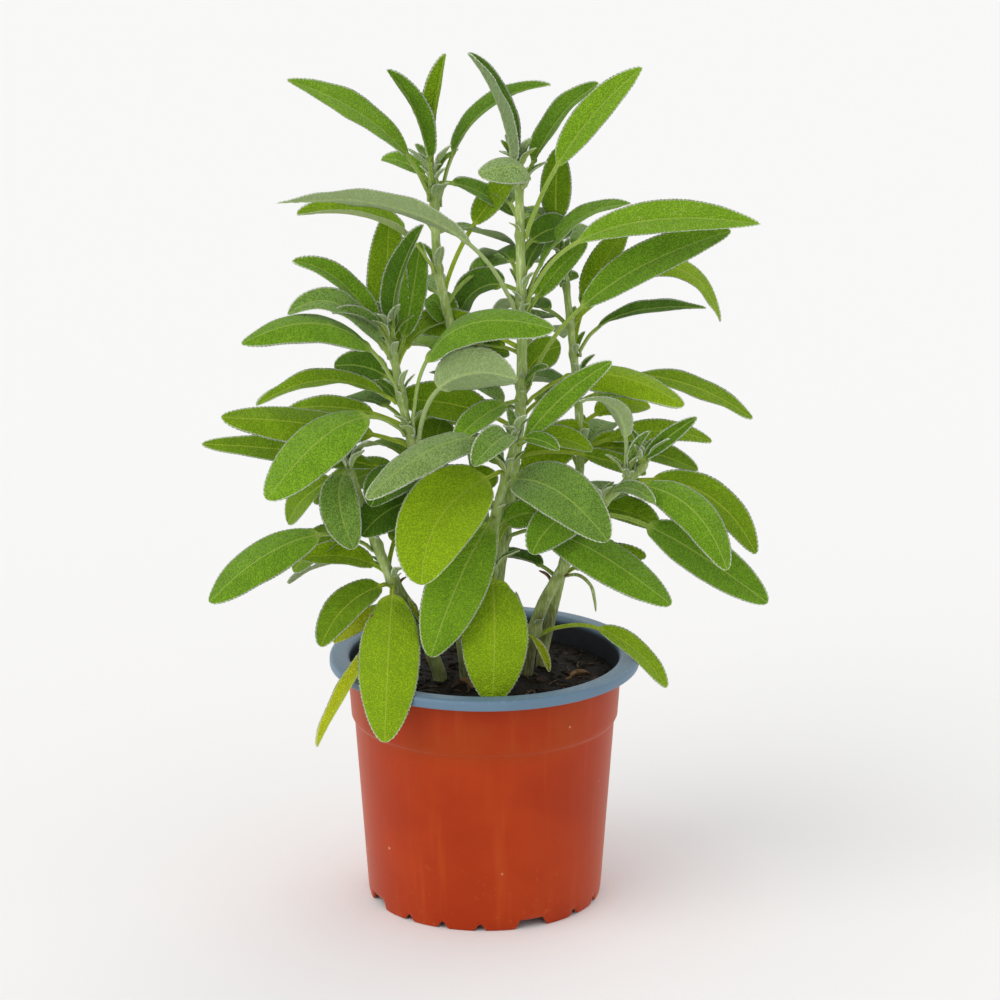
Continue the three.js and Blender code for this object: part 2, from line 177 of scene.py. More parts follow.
class Finish:
    """One material, whose surface is a Principled BSDF."""

    def __init__(self, name, **constants):
        self.material = bpy.data.materials.new(name)
        self.material.use_nodes = True
        self.tree = self.material.node_tree
        self.surface = self.tree.nodes["Principled BSDF"]
        for socket, value in constants.items():
            self.surface.inputs[socket.replace("_", " ")].default_value = value

    def node(self, kind, settings=None, *values, out=0, **named):
        made = self.tree.nodes.new("ShaderNode" + kind)
        for setting, value in (settings or {}).items():
            setattr(made, setting, value)
        for key, value in list(enumerate(values)) + list(named.items()):
            socket = made.inputs[key.replace("_", " ") if isinstance(key, str) else key]
            if isinstance(value, Wire):
                self.tree.links.new(value.socket, socket)
            else:
                socket.default_value = value
        return Wire(self, made.outputs[out])

    def mix(self, share, first, second):
        """A colour between two, by share."""
        made = self.node("Mix", {"data_type": "RGBA"}, share, out="Result").socket.node
        sockets = [s for s in made.inputs if s.type == "RGBA"]
        for socket, value in zip(sockets, (first, second)):
            if isinstance(value, Wire):
                self.tree.links.new(value.socket, socket)
            else:
                socket.default_value = value
        return Wire(self, next(s for s in made.outputs if s.type == "RGBA"))

    def place(self):
        return self.node("TexCoord", None, out="Object")

    def attribute(self, name):
        return self.node("Attribute", {"attribute_name": name}, out="Fac")

    def speckle(self, scale, vector=None, detail=3.0, roughness=0.55):
        """Cloudy noise from 0 to 1, with the given number of lumps to the metre, or to one step of
        the vector where there is one."""
        return self.node("TexNoise", None, vector or self.place(), Scale=scale, Detail=detail,
                         Roughness=roughness)

    def paint(self, **links):
        for socket, value in links.items():
            self.tree.links.new(value.socket, self.surface.inputs[socket.replace("_", " ")])

    def relief(self, height, depth):
        """Raises the surface by height, from 0 to 1, times depth in metres."""
        self.paint(Normal=self.node("Bump", None, Strength=1.0, Distance=depth, Height=height))


def rgb(red, green, blue):
    return (red, green, blue, 1.0)


print("finish tools ready")

# %% [markdown]
# ## Pieces
# Every new piece comes out of a bmesh and stays at the origin, with its place in its mesh, as the
# frame's own solids do. One function puts it in the scene, smooths it, gives it its finishes and
# hides the solid that it replaces.

# %% Make a piece from a bmesh
def piece(name, shape, finishes, slot, *replaced):
    mesh = bpy.data.meshes.new(name)
    shape.to_mesh(mesh)
    shape.free()
    mesh.shade_smooth()
    used = sorted({face.material_index for face in mesh.polygons})
    for face in mesh.polygons:
        face.material_index = used.index(face.material_index)
    for index in used:
        mesh.materials.append(finishes[index].material)
    made = bpy.data.objects.new(name, mesh)
    bpy.context.scene.collection.objects.link(made)
    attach(made, "root")
    if replaced:
        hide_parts(*replaced)
    return made


MERGE = 0.002 * MM


def tidy(shape):
    """Merges doubled points, clears faces with no area and turns every face outwards."""
    bmesh.ops.remove_doubles(shape, verts=shape.verts, dist=MERGE)
    bmesh.ops.dissolve_degenerate(shape, dist=MERGE / 4, edges=shape.edges)
    bmesh.ops.recalc_face_normals(shape, faces=shape.faces)


def lerp(low, high, share):
    return low + (high - low) * share


def smoothstep(low, high, value):
    share = min(1, max(0, (value - low) / (high - low)))
    return share * share * (3 - 2 * share)


def ridge(value, width):
    """1 at the value 0, falling off smoothly over the width to both sides."""
    return math.exp(-((value / width) ** 2))


print("points closer than", MERGE, "m are merged")

# %% [markdown]
# ## Floor
# A real studio uses a roll of pale paper. A wide flat sheet is enough here, as the camera looks down
# on it. It has the faint tooth of paper so that it doesn't look like nothing at all.

# %% Floor
FLOOR_HALF = 12.0
floor_shape = bmesh.new()
bmesh.ops.create_grid(floor_shape, x_segments=8, y_segments=8, size=FLOOR_HALF)
floor_mesh = bpy.data.meshes.new("studio_floor")
floor_shape.to_mesh(floor_mesh)
floor_shape.free()
floor = bpy.data.objects.new("studio_floor", floor_mesh)
bpy.context.scene.collection.objects.link(floor)
paper = Finish("pale_paper", Roughness=0.9, Specular_IOR_Level=0.1)
grain = paper.speckle(900.0)
paper.paint(Base_Color=paper.mix(grain, rgb(0.9, 0.9, 0.9), rgb(0.93, 0.93, 0.93)))
floor_mesh.materials.append(paper.material)
print("floor:", 2 * FLOOR_HALF, "m square")

# %% [markdown]
# ## The pot's plastic
# The pot is drawn from one warm sheet of two colours: terracotta outside, and a dark grey-blue
# inside that shows on the rolled rim. Below the rim's top the inside wall is painted near black, as
# painted shade inside the pot. Such plastic is smooth but not glossy. It has a fine orange-peel
# skin, faint clouds in its colour, paler scuffs low down and a few specks of dust and lime. The
# clouds read Object coordinates, so that they keep their size in metres.

# %% Sizes read from the pot's solid
pot_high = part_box("pot")[1]
RIM_RADIUS = pot_high.x
POT_HEIGHT = pot_high.z
foot_points = [v.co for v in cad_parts["pot"].data.vertices if v.co.z < 0.1 * MM]
FOOT_RADIUS = max(math.hypot(p.x, p.y) for p in foot_points)
WALL = 1.2 * MM
MOUTH_RADIUS = RIM_RADIUS - 6.6 * MM
COLLAR_HEIGHT = 73 * MM
COLLAR_STEP = 1.1 * MM
FLOOR_HEIGHT = 7 * MM
NECK_HEIGHT = POT_HEIGHT - 4 * MM
print("pot:", round(RIM_RADIUS, 4), round(POT_HEIGHT, 4), "foot", round(FOOT_RADIUS, 4))

# %% Terracotta plastic
def terracotta_plastic():
    finish = Finish("terracotta_plastic", Specular_IOR_Level=0.16, Sheen_Weight=0.22,
                    Sheen_Roughness=0.4, Sheen_Tint=rgb(1, 0.72, 0.55))
    height = finish.node("SeparateXYZ", None, finish.place(), out="Z")
    clouds = finish.speckle(28.0, detail=4.0)
    streaks = finish.speckle(1.0, finish.node("Mapping", None, finish.place(), Scale=(160, 160, 9)))
    colour = finish.mix(clouds.ramp(0.35, 0.7), rgb(0.385, 0.031, 0.001), rgb(0.445, 0.042, 0.002))
    colour = finish.mix(streaks.ramp(0.5, 0.75) * 0.35, colour, rgb(0.52, 0.080, 0.010))
    # A slightly browner, darker patch from the collar up to the rim is painted shade: the shade under the
    # rim and the dark leaves reflected there.
    rim_shade_patch = height.ramp(COLLAR_HEIGHT - 7 * MM, COLLAR_HEIGHT + 1 * MM) * clouds.ramp(0.42, 0.6) * 0.45
    colour = finish.mix(rim_shade_patch, colour, rgb(0.34, 0.05, 0.003))
    scuffs = finish.speckle(420.0, detail=5.0).ramp(0.62, 0.72) * (1 - height.ramp(4 * MM, 50 * MM))
    colour = finish.mix(scuffs * 0.4, colour, rgb(0.52, 0.12, 0.04))
    dust = finish.node("TexVoronoi", None, finish.place(), Scale=95.0, out="Distance")
    specks = 1 - dust.ramp(0.03, 0.07)
    chosen = finish.speckle(60.0, detail=0.0).ramp(0.6, 0.64)
    colour = finish.mix(specks * chosen * 0.7, colour, rgb(0.75, 0.42, 0.28))
    peel = finish.speckle(1500.0, detail=1.0)
    finish.relief(peel * 0.5 + streaks * 0.8 + specks * chosen * 2.0, 0.04 * MM)
    finish.paint(Base_Color=colour, Roughness=0.4 + clouds * 0.12 + scuffs * 0.2)
    return finish


def rim_plastic():
    finish = Finish("grey_blue_plastic", Specular_IOR_Level=0.5)
    height = finish.node("SeparateXYZ", None, finish.place(), out="Z")
    clouds = finish.speckle(45.0)
    pale = finish.mix(clouds, rgb(0.090, 0.162, 0.240), rgb(0.140, 0.240, 0.340))
    # deep is the grey-blue plastic painted near black, as painted shade on the wall inside the pot.
    deep = finish.mix(clouds, rgb(0.012, 0.014, 0.02), rgb(0.026, 0.03, 0.04))
    # The pale face is the rolled lip. Below the mouth the wall is the same plastic painted near black:
    # painted shade inside the pot.
    x = finish.node("SeparateXYZ", None, finish.place(), out="X")
    y = finish.node("SeparateXYZ", None, finish.place(), out="Y")
    lip = (x * x + y * y).math("SQRT").ramp(MOUTH_RADIUS + 1.1 * MM, MOUTH_RADIUS + 2.6 * MM)
    top = height.ramp(POT_HEIGHT - 3.5 * MM, POT_HEIGHT - 0.8 * MM)
    colour = finish.mix((top + lip).held(), deep, pale)
    worn = height.ramp(POT_HEIGHT - 1.5 * MM, POT_HEIGHT)
    rub = finish.speckle(700.0, detail=4.0).ramp(0.55, 0.75) * worn
    colour = finish.mix(rub * 0.5, colour, rgb(0.3, 0.38, 0.45))
    low = 1 - height.ramp(POT_HEIGHT - 10 * MM, POT_HEIGHT - 3 * MM)
    splash = finish.speckle(330.0, detail=3.0).ramp(0.6, 0.68) * low
    colour = finish.mix(splash * 0.7, colour, rgb(0.05, 0.032, 0.02))
    finish.relief(finish.speckle(1400.0, detail=1.0) + splash * 2.0, 0.05 * MM)
    finish.paint(Base_Color=colour, Roughness=0.34 + clouds * 0.14 + splash * 0.4)
    return finish


terracotta = terracotta_plastic()
grey_blue = rim_plastic()
print("pot finishes:", terracotta.material.name, grey_blue.material.name)

# %% [markdown]
# ## The pot
# A pot is round, so its wall is one outline spun about the upright axis. The solid has sixty flat
# sides and would show them against the pale floor, so the outline is spun again in many more steps,
# with true rounds at the rim and at the foot. The drain notches are made by lifting the foot's edge
# where each of them is, which leaves soft shoulders such as a mould gives. A Boolean cut could make
# them too, but its edges would be sharper than the real ones.

# %% Radius of the pot's wall
def wall_radius(height):
    taper = (MOUTH_RADIUS - COLLAR_STEP - FOOT_RADIUS) / POT_HEIGHT
    step = COLLAR_STEP * smoothstep(COLLAR_HEIGHT - 1 * MM, COLLAR_HEIGHT + 1 * MM, height)
    return FOOT_RADIUS + taper * height + step


print("wall radius at the collar:", round(wall_radius(COLLAR_HEIGHT), 4))

# %% The pot's outline
def arc(centre, radius, first, last, points=7):
    """Points [radius, height] on an arc, from one angle to another in degrees."""
    turns = [math.radians(lerp(first, last, i / (points - 1))) for i in range(points)]
    return [(centre[0] + radius * math.cos(t), centre[1] + radius * math.sin(t)) for t in turns]


def wall(heights, inwards=0.0):
    return [(wall_radius(h * MM) - inwards, h * MM) for h in heights]


WALL_HEIGHTS = [8, 16, 26, 36, 46, 56, 66, 71, 72, 72.5, 73, 73.5, 74, 76, 84, 90]
lip = RIM_RADIUS - 1.6 * MM
outside = [(0, FLOOR_HEIGHT), (30 * MM, FLOOR_HEIGHT)]
outside += arc((FOOT_RADIUS - 4.4 * MM, FLOOR_HEIGHT - 2 * MM), 2 * MM, 90, 0, 5)
outside += [(FOOT_RADIUS - 1.8 * MM, 3 * MM)]
outside += arc((FOOT_RADIUS - 0.9 * MM, 0.7 * MM), 0.7 * MM, 180, 360, 9)
outside += wall([3, 5] + WALL_HEIGHTS)
outside += arc((wall_radius(NECK_HEIGHT) + 1.2 * MM, POT_HEIGHT - 3 * MM), 1.2 * MM, 180, 90, 5)
outside += [(lip - 0.6 * MM, POT_HEIGHT - 1.8 * MM), (lip + 0.4 * MM, POT_HEIGHT - 2.2 * MM)]
outside += [(lip + 0.4 * MM, NECK_HEIGHT + 0.4 * MM)]
rim = arc((lip + 1.0 * MM, NECK_HEIGHT + 0.6 * MM), 0.6 * MM, 180, 360, 7)
rim += arc((lip, POT_HEIGHT - 1.6 * MM), 1.6 * MM, 0, 90, 9)
rim += arc((MOUTH_RADIUS - WALL + 2.2 * MM, POT_HEIGHT - 2.2 * MM), 2.2 * MM, 90, 180, 9)
rim += wall([90, 84, 76, 74, 73.5, 73, 72.5, 72, 66, 56, 46, 36, 26, 16, 11], WALL)
rim += arc((FOOT_RADIUS - 3.2 * MM, FLOOR_HEIGHT + 3.2 * MM), 2 * MM, 0, -90, 5)
rim += [(30 * MM, FLOOR_HEIGHT + WALL), (0, FLOOR_HEIGHT + WALL)]
print("outline:", len(outside), "points outside,", len(rim), "on the rim and inside")

# %% Spin the outline
SPIN_STEPS = 288


def spun(outline, steps=SPIN_STEPS):
    shape = bmesh.new()
    points = [shape.verts.new((r, 0, z)) for r, z in outline]
    edges = [shape.edges.new(pair) for pair in zip(points, points[1:])]
    bmesh.ops.spin(shape, geom=points + edges, cent=(0, 0, 0), axis=(0, 0, 1), angle=2 * math.pi,
                   steps=steps, use_merge=True)
    bmesh.ops.remove_doubles(shape, verts=shape.verts, dist=MERGE / 2)
    bmesh.ops.recalc_face_normals(shape, faces=shape.faces)
    return shape


pot = spun(outside + rim)
print("pot faces:", len(pot.faces))

# %% Drain notches in the foot
WIDE_NOTCH = (12 * MM, 3.4 * MM)
SMALL_NOTCH = (3.2 * MM, 2.5 * MM)
FIRST_WIDE = math.radians(-66)
NOTCHES = [
    (FIRST_WIDE - quarter * math.pi / 2 - math.radians(offset), size)
    for quarter in range(4)
    for offset, size in ((0, WIDE_NOTCH), (26, SMALL_NOTCH), (45, SMALL_NOTCH), (64, SMALL_NOTCH))
]


def notch_lift(angle):
    """How far the foot's edge is lifted at an angle round the pot."""
    lift = 0.0
    for turn, (width, height) in NOTCHES:
        away = abs((angle - turn + math.pi) % (2 * math.pi) - math.pi) * FOOT_RADIUS
        lift = max(lift, height * (1 - smoothstep(width / 2 - 1.2 * MM, width / 2 + 0.9 * MM, away)))
    return lift


for v in pot.verts:
    away = math.hypot(v.co.x, v.co.y)
    if v.co.z < 5.5 * MM and away > FOOT_RADIUS - 2 * MM:
        lift = notch_lift(math.atan2(v.co.y, v.co.x))
        v.co.z += lift * (1 - smoothstep(0, 5.5 * MM, v.co.z))
for face in pot.faces:
    middle = face.calc_center_median()
    away = math.hypot(middle.x, middle.y)
    looks_in = face.normal.xy.dot(middle.xy) < 0 or away < FOOT_RADIUS - 6 * MM
    inside = looks_in and middle.z > FLOOR_HEIGHT + 0.6 * MM
    on_rim = middle.z > NECK_HEIGHT - 0.3 * MM and away > wall_radius(NECK_HEIGHT) + 1.4 * MM
    face.material_index = int(inside or on_rim or middle.z > POT_HEIGHT - 1.7 * MM)
pot_piece = piece("nursery_pot", pot, (terracotta, grey_blue), "pot", "pot")
print("pot piece:", len(pot_piece.data.polygons), "faces")

# %% [markdown]
# ## Compost
# Potting compost is dark, damp peat with crumbs, slivers of bark and pale rootlets lying on it. A
# flat disc with a bumpy finish would look painted, because the crumbs throw real shadows. So the
# disc gets rounded lumps from noise, and on top of it lie some hundreds of small crumbs and flakes,
# each with only a few faces.

# %% Compost finishes
def compost_finish(name, dark, pale, lumps_per_metre):
    finish = Finish(name, Specular_IOR_Level=0.3)
    lumps = finish.speckle(lumps_per_metre, detail=6.0, roughness=0.7)
    grit = finish.speckle(lumps_per_metre * 6, detail=2.0)
    colour = finish.mix((lumps * 0.7 + grit * 0.3).ramp(0.38, 0.68), dark, pale)
    finish.relief(lumps + grit * 0.6, 0.5 * MM)
    finish.paint(Base_Color=colour, Roughness=0.72 + grit * 0.25)
    return finish


peat = compost_finish("moist_peat", rgb(0.003, 0.002, 0.001), rgb(0.022, 0.013, 0.007), 420.0)
crumb_peat = compost_finish("peat_crumbs", rgb(0.006, 0.004, 0.002), rgb(0.04, 0.023, 0.013), 700.0)
bark = compost_finish("bark_flakes", rgb(0.022, 0.011, 0.006), rgb(0.10, 0.05, 0.026), 500.0)
root_skin = compost_finish("rootlets", rgb(0.07, 0.045, 0.028), rgb(0.24, 0.165, 0.11), 900.0)
dead_skin = compost_finish("dead_leaf", rgb(0.13, 0.07, 0.03), rgb(0.33, 0.2, 0.1), 300.0)
compost_finishes = (peat, crumb_peat, bark, root_skin, dead_skin)
print("compost finishes:", [finish.material.name for finish in compost_finishes])

# %% The compost's surface
soil_low, soil_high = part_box("soil")
SOIL_EDGE = 88 * MM
SOIL_CROWN = soil_high.z
SOIL_RADIUS = wall_radius(SOIL_EDGE) - WALL - 0.1 * MM
LUMP_SIZE = 5.5 * MM
LUMP_HEIGHT = 1.1 * MM


def ground(x, y):
    """Height of the compost at a place."""
    out = min(1, math.hypot(x, y) / SOIL_RADIUS)
    crown = lerp(SOIL_CROWN, SOIL_EDGE, out * out)
    lumps = noise.fractal(Vector((x, y, 0.3)) / LUMP_SIZE, 0.8, 2.1, 5)
    return crown - 0.4 * MM + LUMP_HEIGHT * lumps * (1 - 0.5 * out)


RINGS = 46
soil_outline = [(0, soil_low.z), (FOOT_RADIUS - 6 * MM, soil_low.z)]
soil_outline += wall([14, 40, 70], WALL + 0.6 * MM)
soil_outline += [(SOIL_RADIUS * (1 - ring / RINGS), SOIL_EDGE) for ring in range(RINGS)]
soil_outline += [(0, SOIL_EDGE)]
soil = spun(soil_outline, 200)
for v in soil.verts:
    if v.co.z > SOIL_EDGE - 0.01 * MM:
        v.co.z = ground(v.co.x, v.co.y)
soil_piece = piece("compost", soil, (peat,), "soil", "soil")
print("compost faces:", len(soil_piece.data.polygons))

# %% Crumbs and bark on the compost
chance = random.Random(11)


def spot_on_soil(margin):
    """A random place on the compost, a margin away from the pot's wall."""
    turn = chance.uniform(0, 2 * math.pi)
    away = (SOIL_RADIUS - margin) * math.sqrt(chance.random())
    x = away * math.cos(turn)
    y = away * math.sin(turn)
    return Vector((x, y, ground(x, y)))


def scatter(name, count, finish, size, flatness, sink):
    """Small lumps of random size and turn, partly sunk into the compost."""
    shape = bmesh.new()
    for _ in range(count):
        radius = chance.uniform(*size) * MM
        spot = spot_on_soil(radius + 0.5 * MM)
        spot.z -= radius * sink * flatness
        turn = Matrix.Rotation(chance.uniform(0, 2 * math.pi), 4, "Z")
        tip = Matrix.Rotation(chance.uniform(-0.5, 0.5), 4, "X")
        squash = Matrix.Diagonal((1, chance.uniform(0.45, 0.9), flatness, 1))
        place = Matrix.Translation(spot) @ turn @ tip @ squash
        made = bmesh.ops.create_icosphere(shape, subdivisions=1 + (radius > 1.3 * MM),
                                          radius=radius, matrix=place)
        for v in made["verts"]:
            v.co += noise.noise_vector(v.co / (0.8 * radius)) * radius * 0.45 * min(1, flatness * 2)
    made = piece(name, shape, (finish,), "soil")
    print(name + ":", count, "pieces,", len(made.data.polygons), "faces")


scatter("peat_crumbs", 620, crumb_peat, (0.45, 1.9), 0.7, 0.2)
scatter("bark_flakes", 90, bark, (0.9, 3.0), 0.22, 0.0)

# %% [markdown]
# ## Rolled shapes
# Roots, stems and leaves are all long closed skins: a tube for a root or stem, and for a leaf a tube
# pressed flat into a blade. One tool makes them all. It takes a flat grid from
# `bmesh.ops.create_grid`, rolls it up, moves each point to where the plant has it, and merges the
# seam and the two ends. A curve with a bevel could make the stems, but not the leaves, whose
# section changes all the way.

# %% Roll a grid into a closed skin
def rolled(shape, rows, columns, place, mark=None):
    """Adds a closed skin to shape. place(row, turn) gives a point, with turn from 0 to 1 round it.
    mark(face, where) is called for each face, and where gives each corner's row and turn."""
    grid = bmesh.ops.create_grid(shape, x_segments=rows, y_segments=columns, size=1)
    verts = grid["verts"]
    where = {v: (round((v.co.x + 1) / 2 * rows), (v.co.y + 1) / 2) for v in verts}
    if mark:
        for face in {f for v in verts for f in v.link_faces}:
            mark(face, where)
    for v in verts:
        v.co = place(*where[v])
    bmesh.ops.remove_doubles(shape, verts=verts, dist=MERGE)


class Line:
    """A smooth line through points, measured in metres along it."""

    def __init__(self, points):
        self.points = points
        self.marks = [0.0]
        for first, second in zip(points, points[1:]):
            self.marks.append(self.marks[-1] + (second - first).length)
        self.length = self.marks[-1]
        slopes = [
            (b - a) / (m - k)
            for a, b, k, m in zip(points, points[1:], self.marks, self.marks[1:])
        ]
        self.slopes = [slopes[0]]
        for i in range(1, len(slopes)):
            before = self.marks[i] - self.marks[i - 1]
            after = self.marks[i + 1] - self.marks[i]
            self.slopes.append((slopes[i - 1] * after + slopes[i] * before) / (before + after))
        self.slopes.append(slopes[-1])

    def find(self, distance):
        distance = min(max(distance, 0), self.length)
        i = 0
        while i < len(self.marks) - 2 and self.marks[i + 1] < distance:
            i += 1
        span = self.marks[i + 1] - self.marks[i]
        return i, span, (distance - self.marks[i]) / span

    def at(self, distance):
        i, span, t = self.find(distance)
        first, second = self.points[i], self.points[i + 1]
        return (
            first * (2 * t**3 - 3 * t**2 + 1)
            + self.slopes[i] * span * (t**3 - 2 * t**2 + t)
            + second * (3 * t**2 - 2 * t**3)
            + self.slopes[i + 1] * span * (t**3 - t**2)
        )

    def direction(self, distance):
        step = self.length / 400
        return (self.at(distance + step) - self.at(distance - step)).normalized()

    def between(self, values, distance):
        """One of a row of values, one for each point, blended along the line."""
        i, _, t = self.find(distance)
        return values[i] * (1 - t) + values[i + 1] * t


def framed(line, distance, side):
    """The line's point, and its side and up directions there."""
    ahead = line.direction(distance)
    side = (side - ahead * side.dot(ahead)).normalized()
    return line.at(distance), side, side.cross(ahead)


bent = Line([Vector((0, 0, 0)), Vector((3, 0, 4)), Vector((3, 0, 8))])
print("a bent line:", bent.length, "long, half way at", tuple(bent.at(bent.length / 2)))

# %% Rootlets on the compost
def rootlet(shape, points, radius):
    line = Line(points)
    rows = 22

    def place(row, turn):
        distance = line.length * row / rows
        centre, side, up = framed(line, distance, Vector((0.3, 0.5, 1)))
        thick = radius * math.sin(math.pi * row / rows) ** 0.4
        angle = 2 * math.pi * turn
        return centre + (side * math.cos(angle) + up * math.sin(angle)) * thick

    rolled(shape, rows, 6, place)


roots = bmesh.new()
ROOTLETS = 34
for _ in range(ROOTLETS):
    spot = spot_on_soil(9 * MM)
    heading = chance.uniform(0, 2 * math.pi)
    trail = []
    for _ in range(6):
        trail.append(Vector((spot.x, spot.y, ground(spot.x, spot.y) + 0.35 * MM)))
        heading += chance.uniform(-0.8, 0.8)
        spot += Vector((math.cos(heading), math.sin(heading), 0)) * chance.uniform(1.0, 2.6) * MM
        if spot.xy.length > SOIL_RADIUS - 2 * MM:
            heading += math.pi / 2
            spot.xy *= 0.93
    rootlet(roots, trail, chance.uniform(0.18, 0.5) * MM)
tidy(roots)
piece("rootlets", roots, (root_skin,), "soil")
print("rootlets:", ROOTLETS)

# %% [markdown]
# ## Reading the plant's solids
# Each stem and leaf solid is a row of rings between two end points: six corners to a stem's ring and
# four to a leaf's. Walking outwards from an end, one step of edges at a time, gives the rings in
# order. From them come the line that the leaf follows, the way its upper side looks, its width and
# how far it is folded, so nothing has to be measured again by hand.

# %% Rings of a solid
def rings_of(node, corners):
    """The rings of a solid from its finer end: [end point], ring, ring, ..., [end point]."""
    shape = bmesh.new()
    shape.from_mesh(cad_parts[node].data)
    bmesh.ops.remove_doubles(shape, verts=shape.verts, dist=MERGE)
    shape.verts.index_update()

    def reach(v):
        if len(v.link_edges) != corners:
            return math.inf
        return sum(e.calc_length() for e in v.link_edges) / corners

    level = [min(shape.verts, key=reach)]
    seen = set(level)
    rings = []
    while level:
        rings.append([v.co.copy() for v in level])
        around = {e.other_vert(v) for v in level for e in v.link_edges} - seen
        seen |= around
        level = sorted(around, key=lambda v: v.index)
    shape.free()
    return rings


def middle_of(points):
    return sum(points, Vector()) / len(points)


print("rings of a leaf's solid:", len(rings_of("tall_stem_leaf_1", 4)))

# %% The line and the width of a leaf's solid
BLADE_STATIONS = (0.03, 0.11, 0.24, 0.4, 0.56, 0.71, 0.84, 0.94)
MIDDLE_STATIONS = (2, 3, 4, 5)
STALK_RINGS = 3
MIDRIB_ABOVE = 0.25 * MM


def outline(share):
    """Half the width of a sage blade, as a share of its widest, from its base at 0 to its tip at 1."""
    return math.sin(math.pi * min(1, max(0, share)) ** 0.88) ** 0.65


def read_leaf(node):
    """What the leaf's solid says: its line, its side directions, half width, stalk share and fold."""
    rings = rings_of(node, 4)
    points = [rings[0][0]]
    sides = []
    halves = []
    up = None
    lifts = []
    for ring in rings[1:-1]:
        pairs = [(a, b) for i, a in enumerate(ring) for b in ring[i + 1:]]
        margins = max(pairs, key=lambda pair: (pair[0] - pair[1]).length)
        upper, under = [p for p in ring if p not in margins]
        between = middle_of(margins)
        if up is None:
            swap = (upper - between).length > (under - between).length
        else:
            swap = (upper - under).dot(up) < 0
        if swap:
            upper, under = under, upper
        up = (upper - under).normalized()
        centre = upper - up * MIDRIB_ABOVE
        side = (margins[0] - margins[1]) / 2
        if sides and side.dot(sides[-1]) < 0:
            side = -side
        points.append(centre)
        sides.append(side.normalized())
        halves.append(side.length)
        lifts.append((between - centre).dot(up))
    points.append(rings[-1][0])
    line = Line(points)
    # Side, forward and up stand to each other as the axes x, y and z do.
    forward = line.direction(line.length / 2)
    if sides[5].cross(forward).dot(up) < 0:
        sides = [-side for side in sides]
    first, last = line.marks[STALK_RINGS + 1], line.marks[STALK_RINGS + len(BLADE_STATIONS)]
    blade = (last - first) / (BLADE_STATIONS[-1] - BLADE_STATIONS[0])
    widest = [
        math.hypot(halves[STALK_RINGS + i], lifts[STALK_RINGS + i]) / outline(BLADE_STATIONS[i])
        for i in MIDDLE_STATIONS
    ]
    fold = math.atan2(sum(lifts[-6:-2]), sum(halves[-6:-2]))
    return {
        "line": line,
        "sides": [sides[0]] + sides + [sides[-1]],
        "half": sum(widest) / len(widest),
        "blade": min(blade, line.length),
        "fold": fold,
    }


sample = read_leaf("left_stem_leaf_1")
print("one leaf:", {k: round(v, 4) for k, v in sample.items() if isinstance(v, float)})

# %% [markdown]
# ## Stem skin
# A young sage stem is four-sided with soft corners, pale green and covered with short white wool.
# Lower down it turns brown and woody. The skin's colour goes from brown to green with height, and
# fine long streaks of wool lie over it. The sheen socket stands for the wool's pale outline, which
# real hairs would only give with many thousands of strands.

# %% Stem finish
def stem_finish():
    finish = Finish("stem_skin", Specular_IOR_Level=0.3, Sheen_Weight=0.45, Sheen_Roughness=0.45,
                    Sheen_Tint=rgb(0.95, 1, 0.88))
    height = finish.node("SeparateXYZ", None, finish.place(), out="Z")
    wool = finish.speckle(1.0, finish.node("Mapping", None, finish.place(), Scale=(1500, 1500, 260)),
                          detail=4.0)
    clouds = finish.speckle(90.0)
    green = finish.mix(clouds.ramp(0.3, 0.7), rgb(0.25, 0.37, 0.065), rgb(0.42, 0.54, 0.15))
    woody = finish.mix(clouds.ramp(0.4, 0.6), rgb(0.10, 0.065, 0.025), rgb(0.24, 0.25, 0.08))
    low = 1 - (height + clouds * 0.05).ramp(0.110, 0.175)
    colour = finish.mix(low * 0.8, green, woody)
    colour = finish.mix(wool.ramp(0.45, 0.72) * (0.7 - low * 0.4), colour, rgb(0.72, 0.80, 0.52))
    knots = finish.attribute("knot")
    colour = finish.mix(knots * 0.35, colour, rgb(0.17, 0.22, 0.05))
    finish.relief(wool + clouds * 0.5, 0.16 * MM)
    finish.paint(Base_Color=colour, Roughness=0.62 + wool * 0.25)
    return finish


stem_skin = stem_finish()
STEMS = [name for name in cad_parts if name.endswith("_stem")]
print("stems:", STEMS)

# %% [markdown]
# ## Stems
# The rings of a stem's solid give its line and its thickness. The new stem has twenty corners to a
# ring, pressed into a soft square, and it swells where a pair of leaves joins it. The same lines are
# kept for later, because the small leaves start from them.

# %% Read the stems
def read_stem(node):
    rings = [ring for ring in rings_of(node, 6)[::-1] if len(ring) == 6]
    points = [middle_of(ring) for ring in rings]
    radii = [(ring[0] - centre).length for ring, centre in zip(rings, points)]
    return {"line": Line(points), "radii": radii}


def leaf_names(stem):
    return [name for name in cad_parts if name.startswith(stem + "_leaf_")]


stems = {name: read_stem(name) for name in STEMS}
leaves = {name: read_leaf(name) for stem in STEMS for name in leaf_names(stem)}
print("stems read:", len(stems), "leaves read:", len(leaves))

# %% Places on a stem
def height_on(stem, height):
    """How far along a stem's line it reaches a height."""
    low, high = 0.0, stem["line"].length
    for _ in range(24):
        middle = (low + high) / 2
        if stem["line"].at(middle).z < height:
            low = middle
        else:
            high = middle
    return low


def nearest_on(stem, point):
    steps = 200
    marks = [stem["line"].length * i / steps for i in range(steps + 1)]
    return min(marks, key=lambda mark: (stem["line"].at(mark) - point).length)


ROOT_DROP = 0.8 * MM


def root_in(leaf, stem, joint):
    """Starts a leaf's line inside its stem's skin, a little below where the stalk comes out."""
    line = leaf["line"]
    core = stem["line"].at(max(0, joint - ROOT_DROP))
    leaf["line"] = Line([core.lerp(line.points[0], 0.2)] + line.points)
    leaf["sides"] = [leaf["sides"][0]] + leaf["sides"]


rim_mark = height_on(stems["tall_stem"], POT_HEIGHT)
print("the tall stem passes the rim's height", round(rim_mark, 4), "m along it")

# %% Make the stems
STEM_ROW = 1.1 * MM
STEM_COLUMNS = 20
KNOT_LENGTH = 1.9 * MM
KNOT_SWELLING = 0.30
SQUARENESS = 0.07


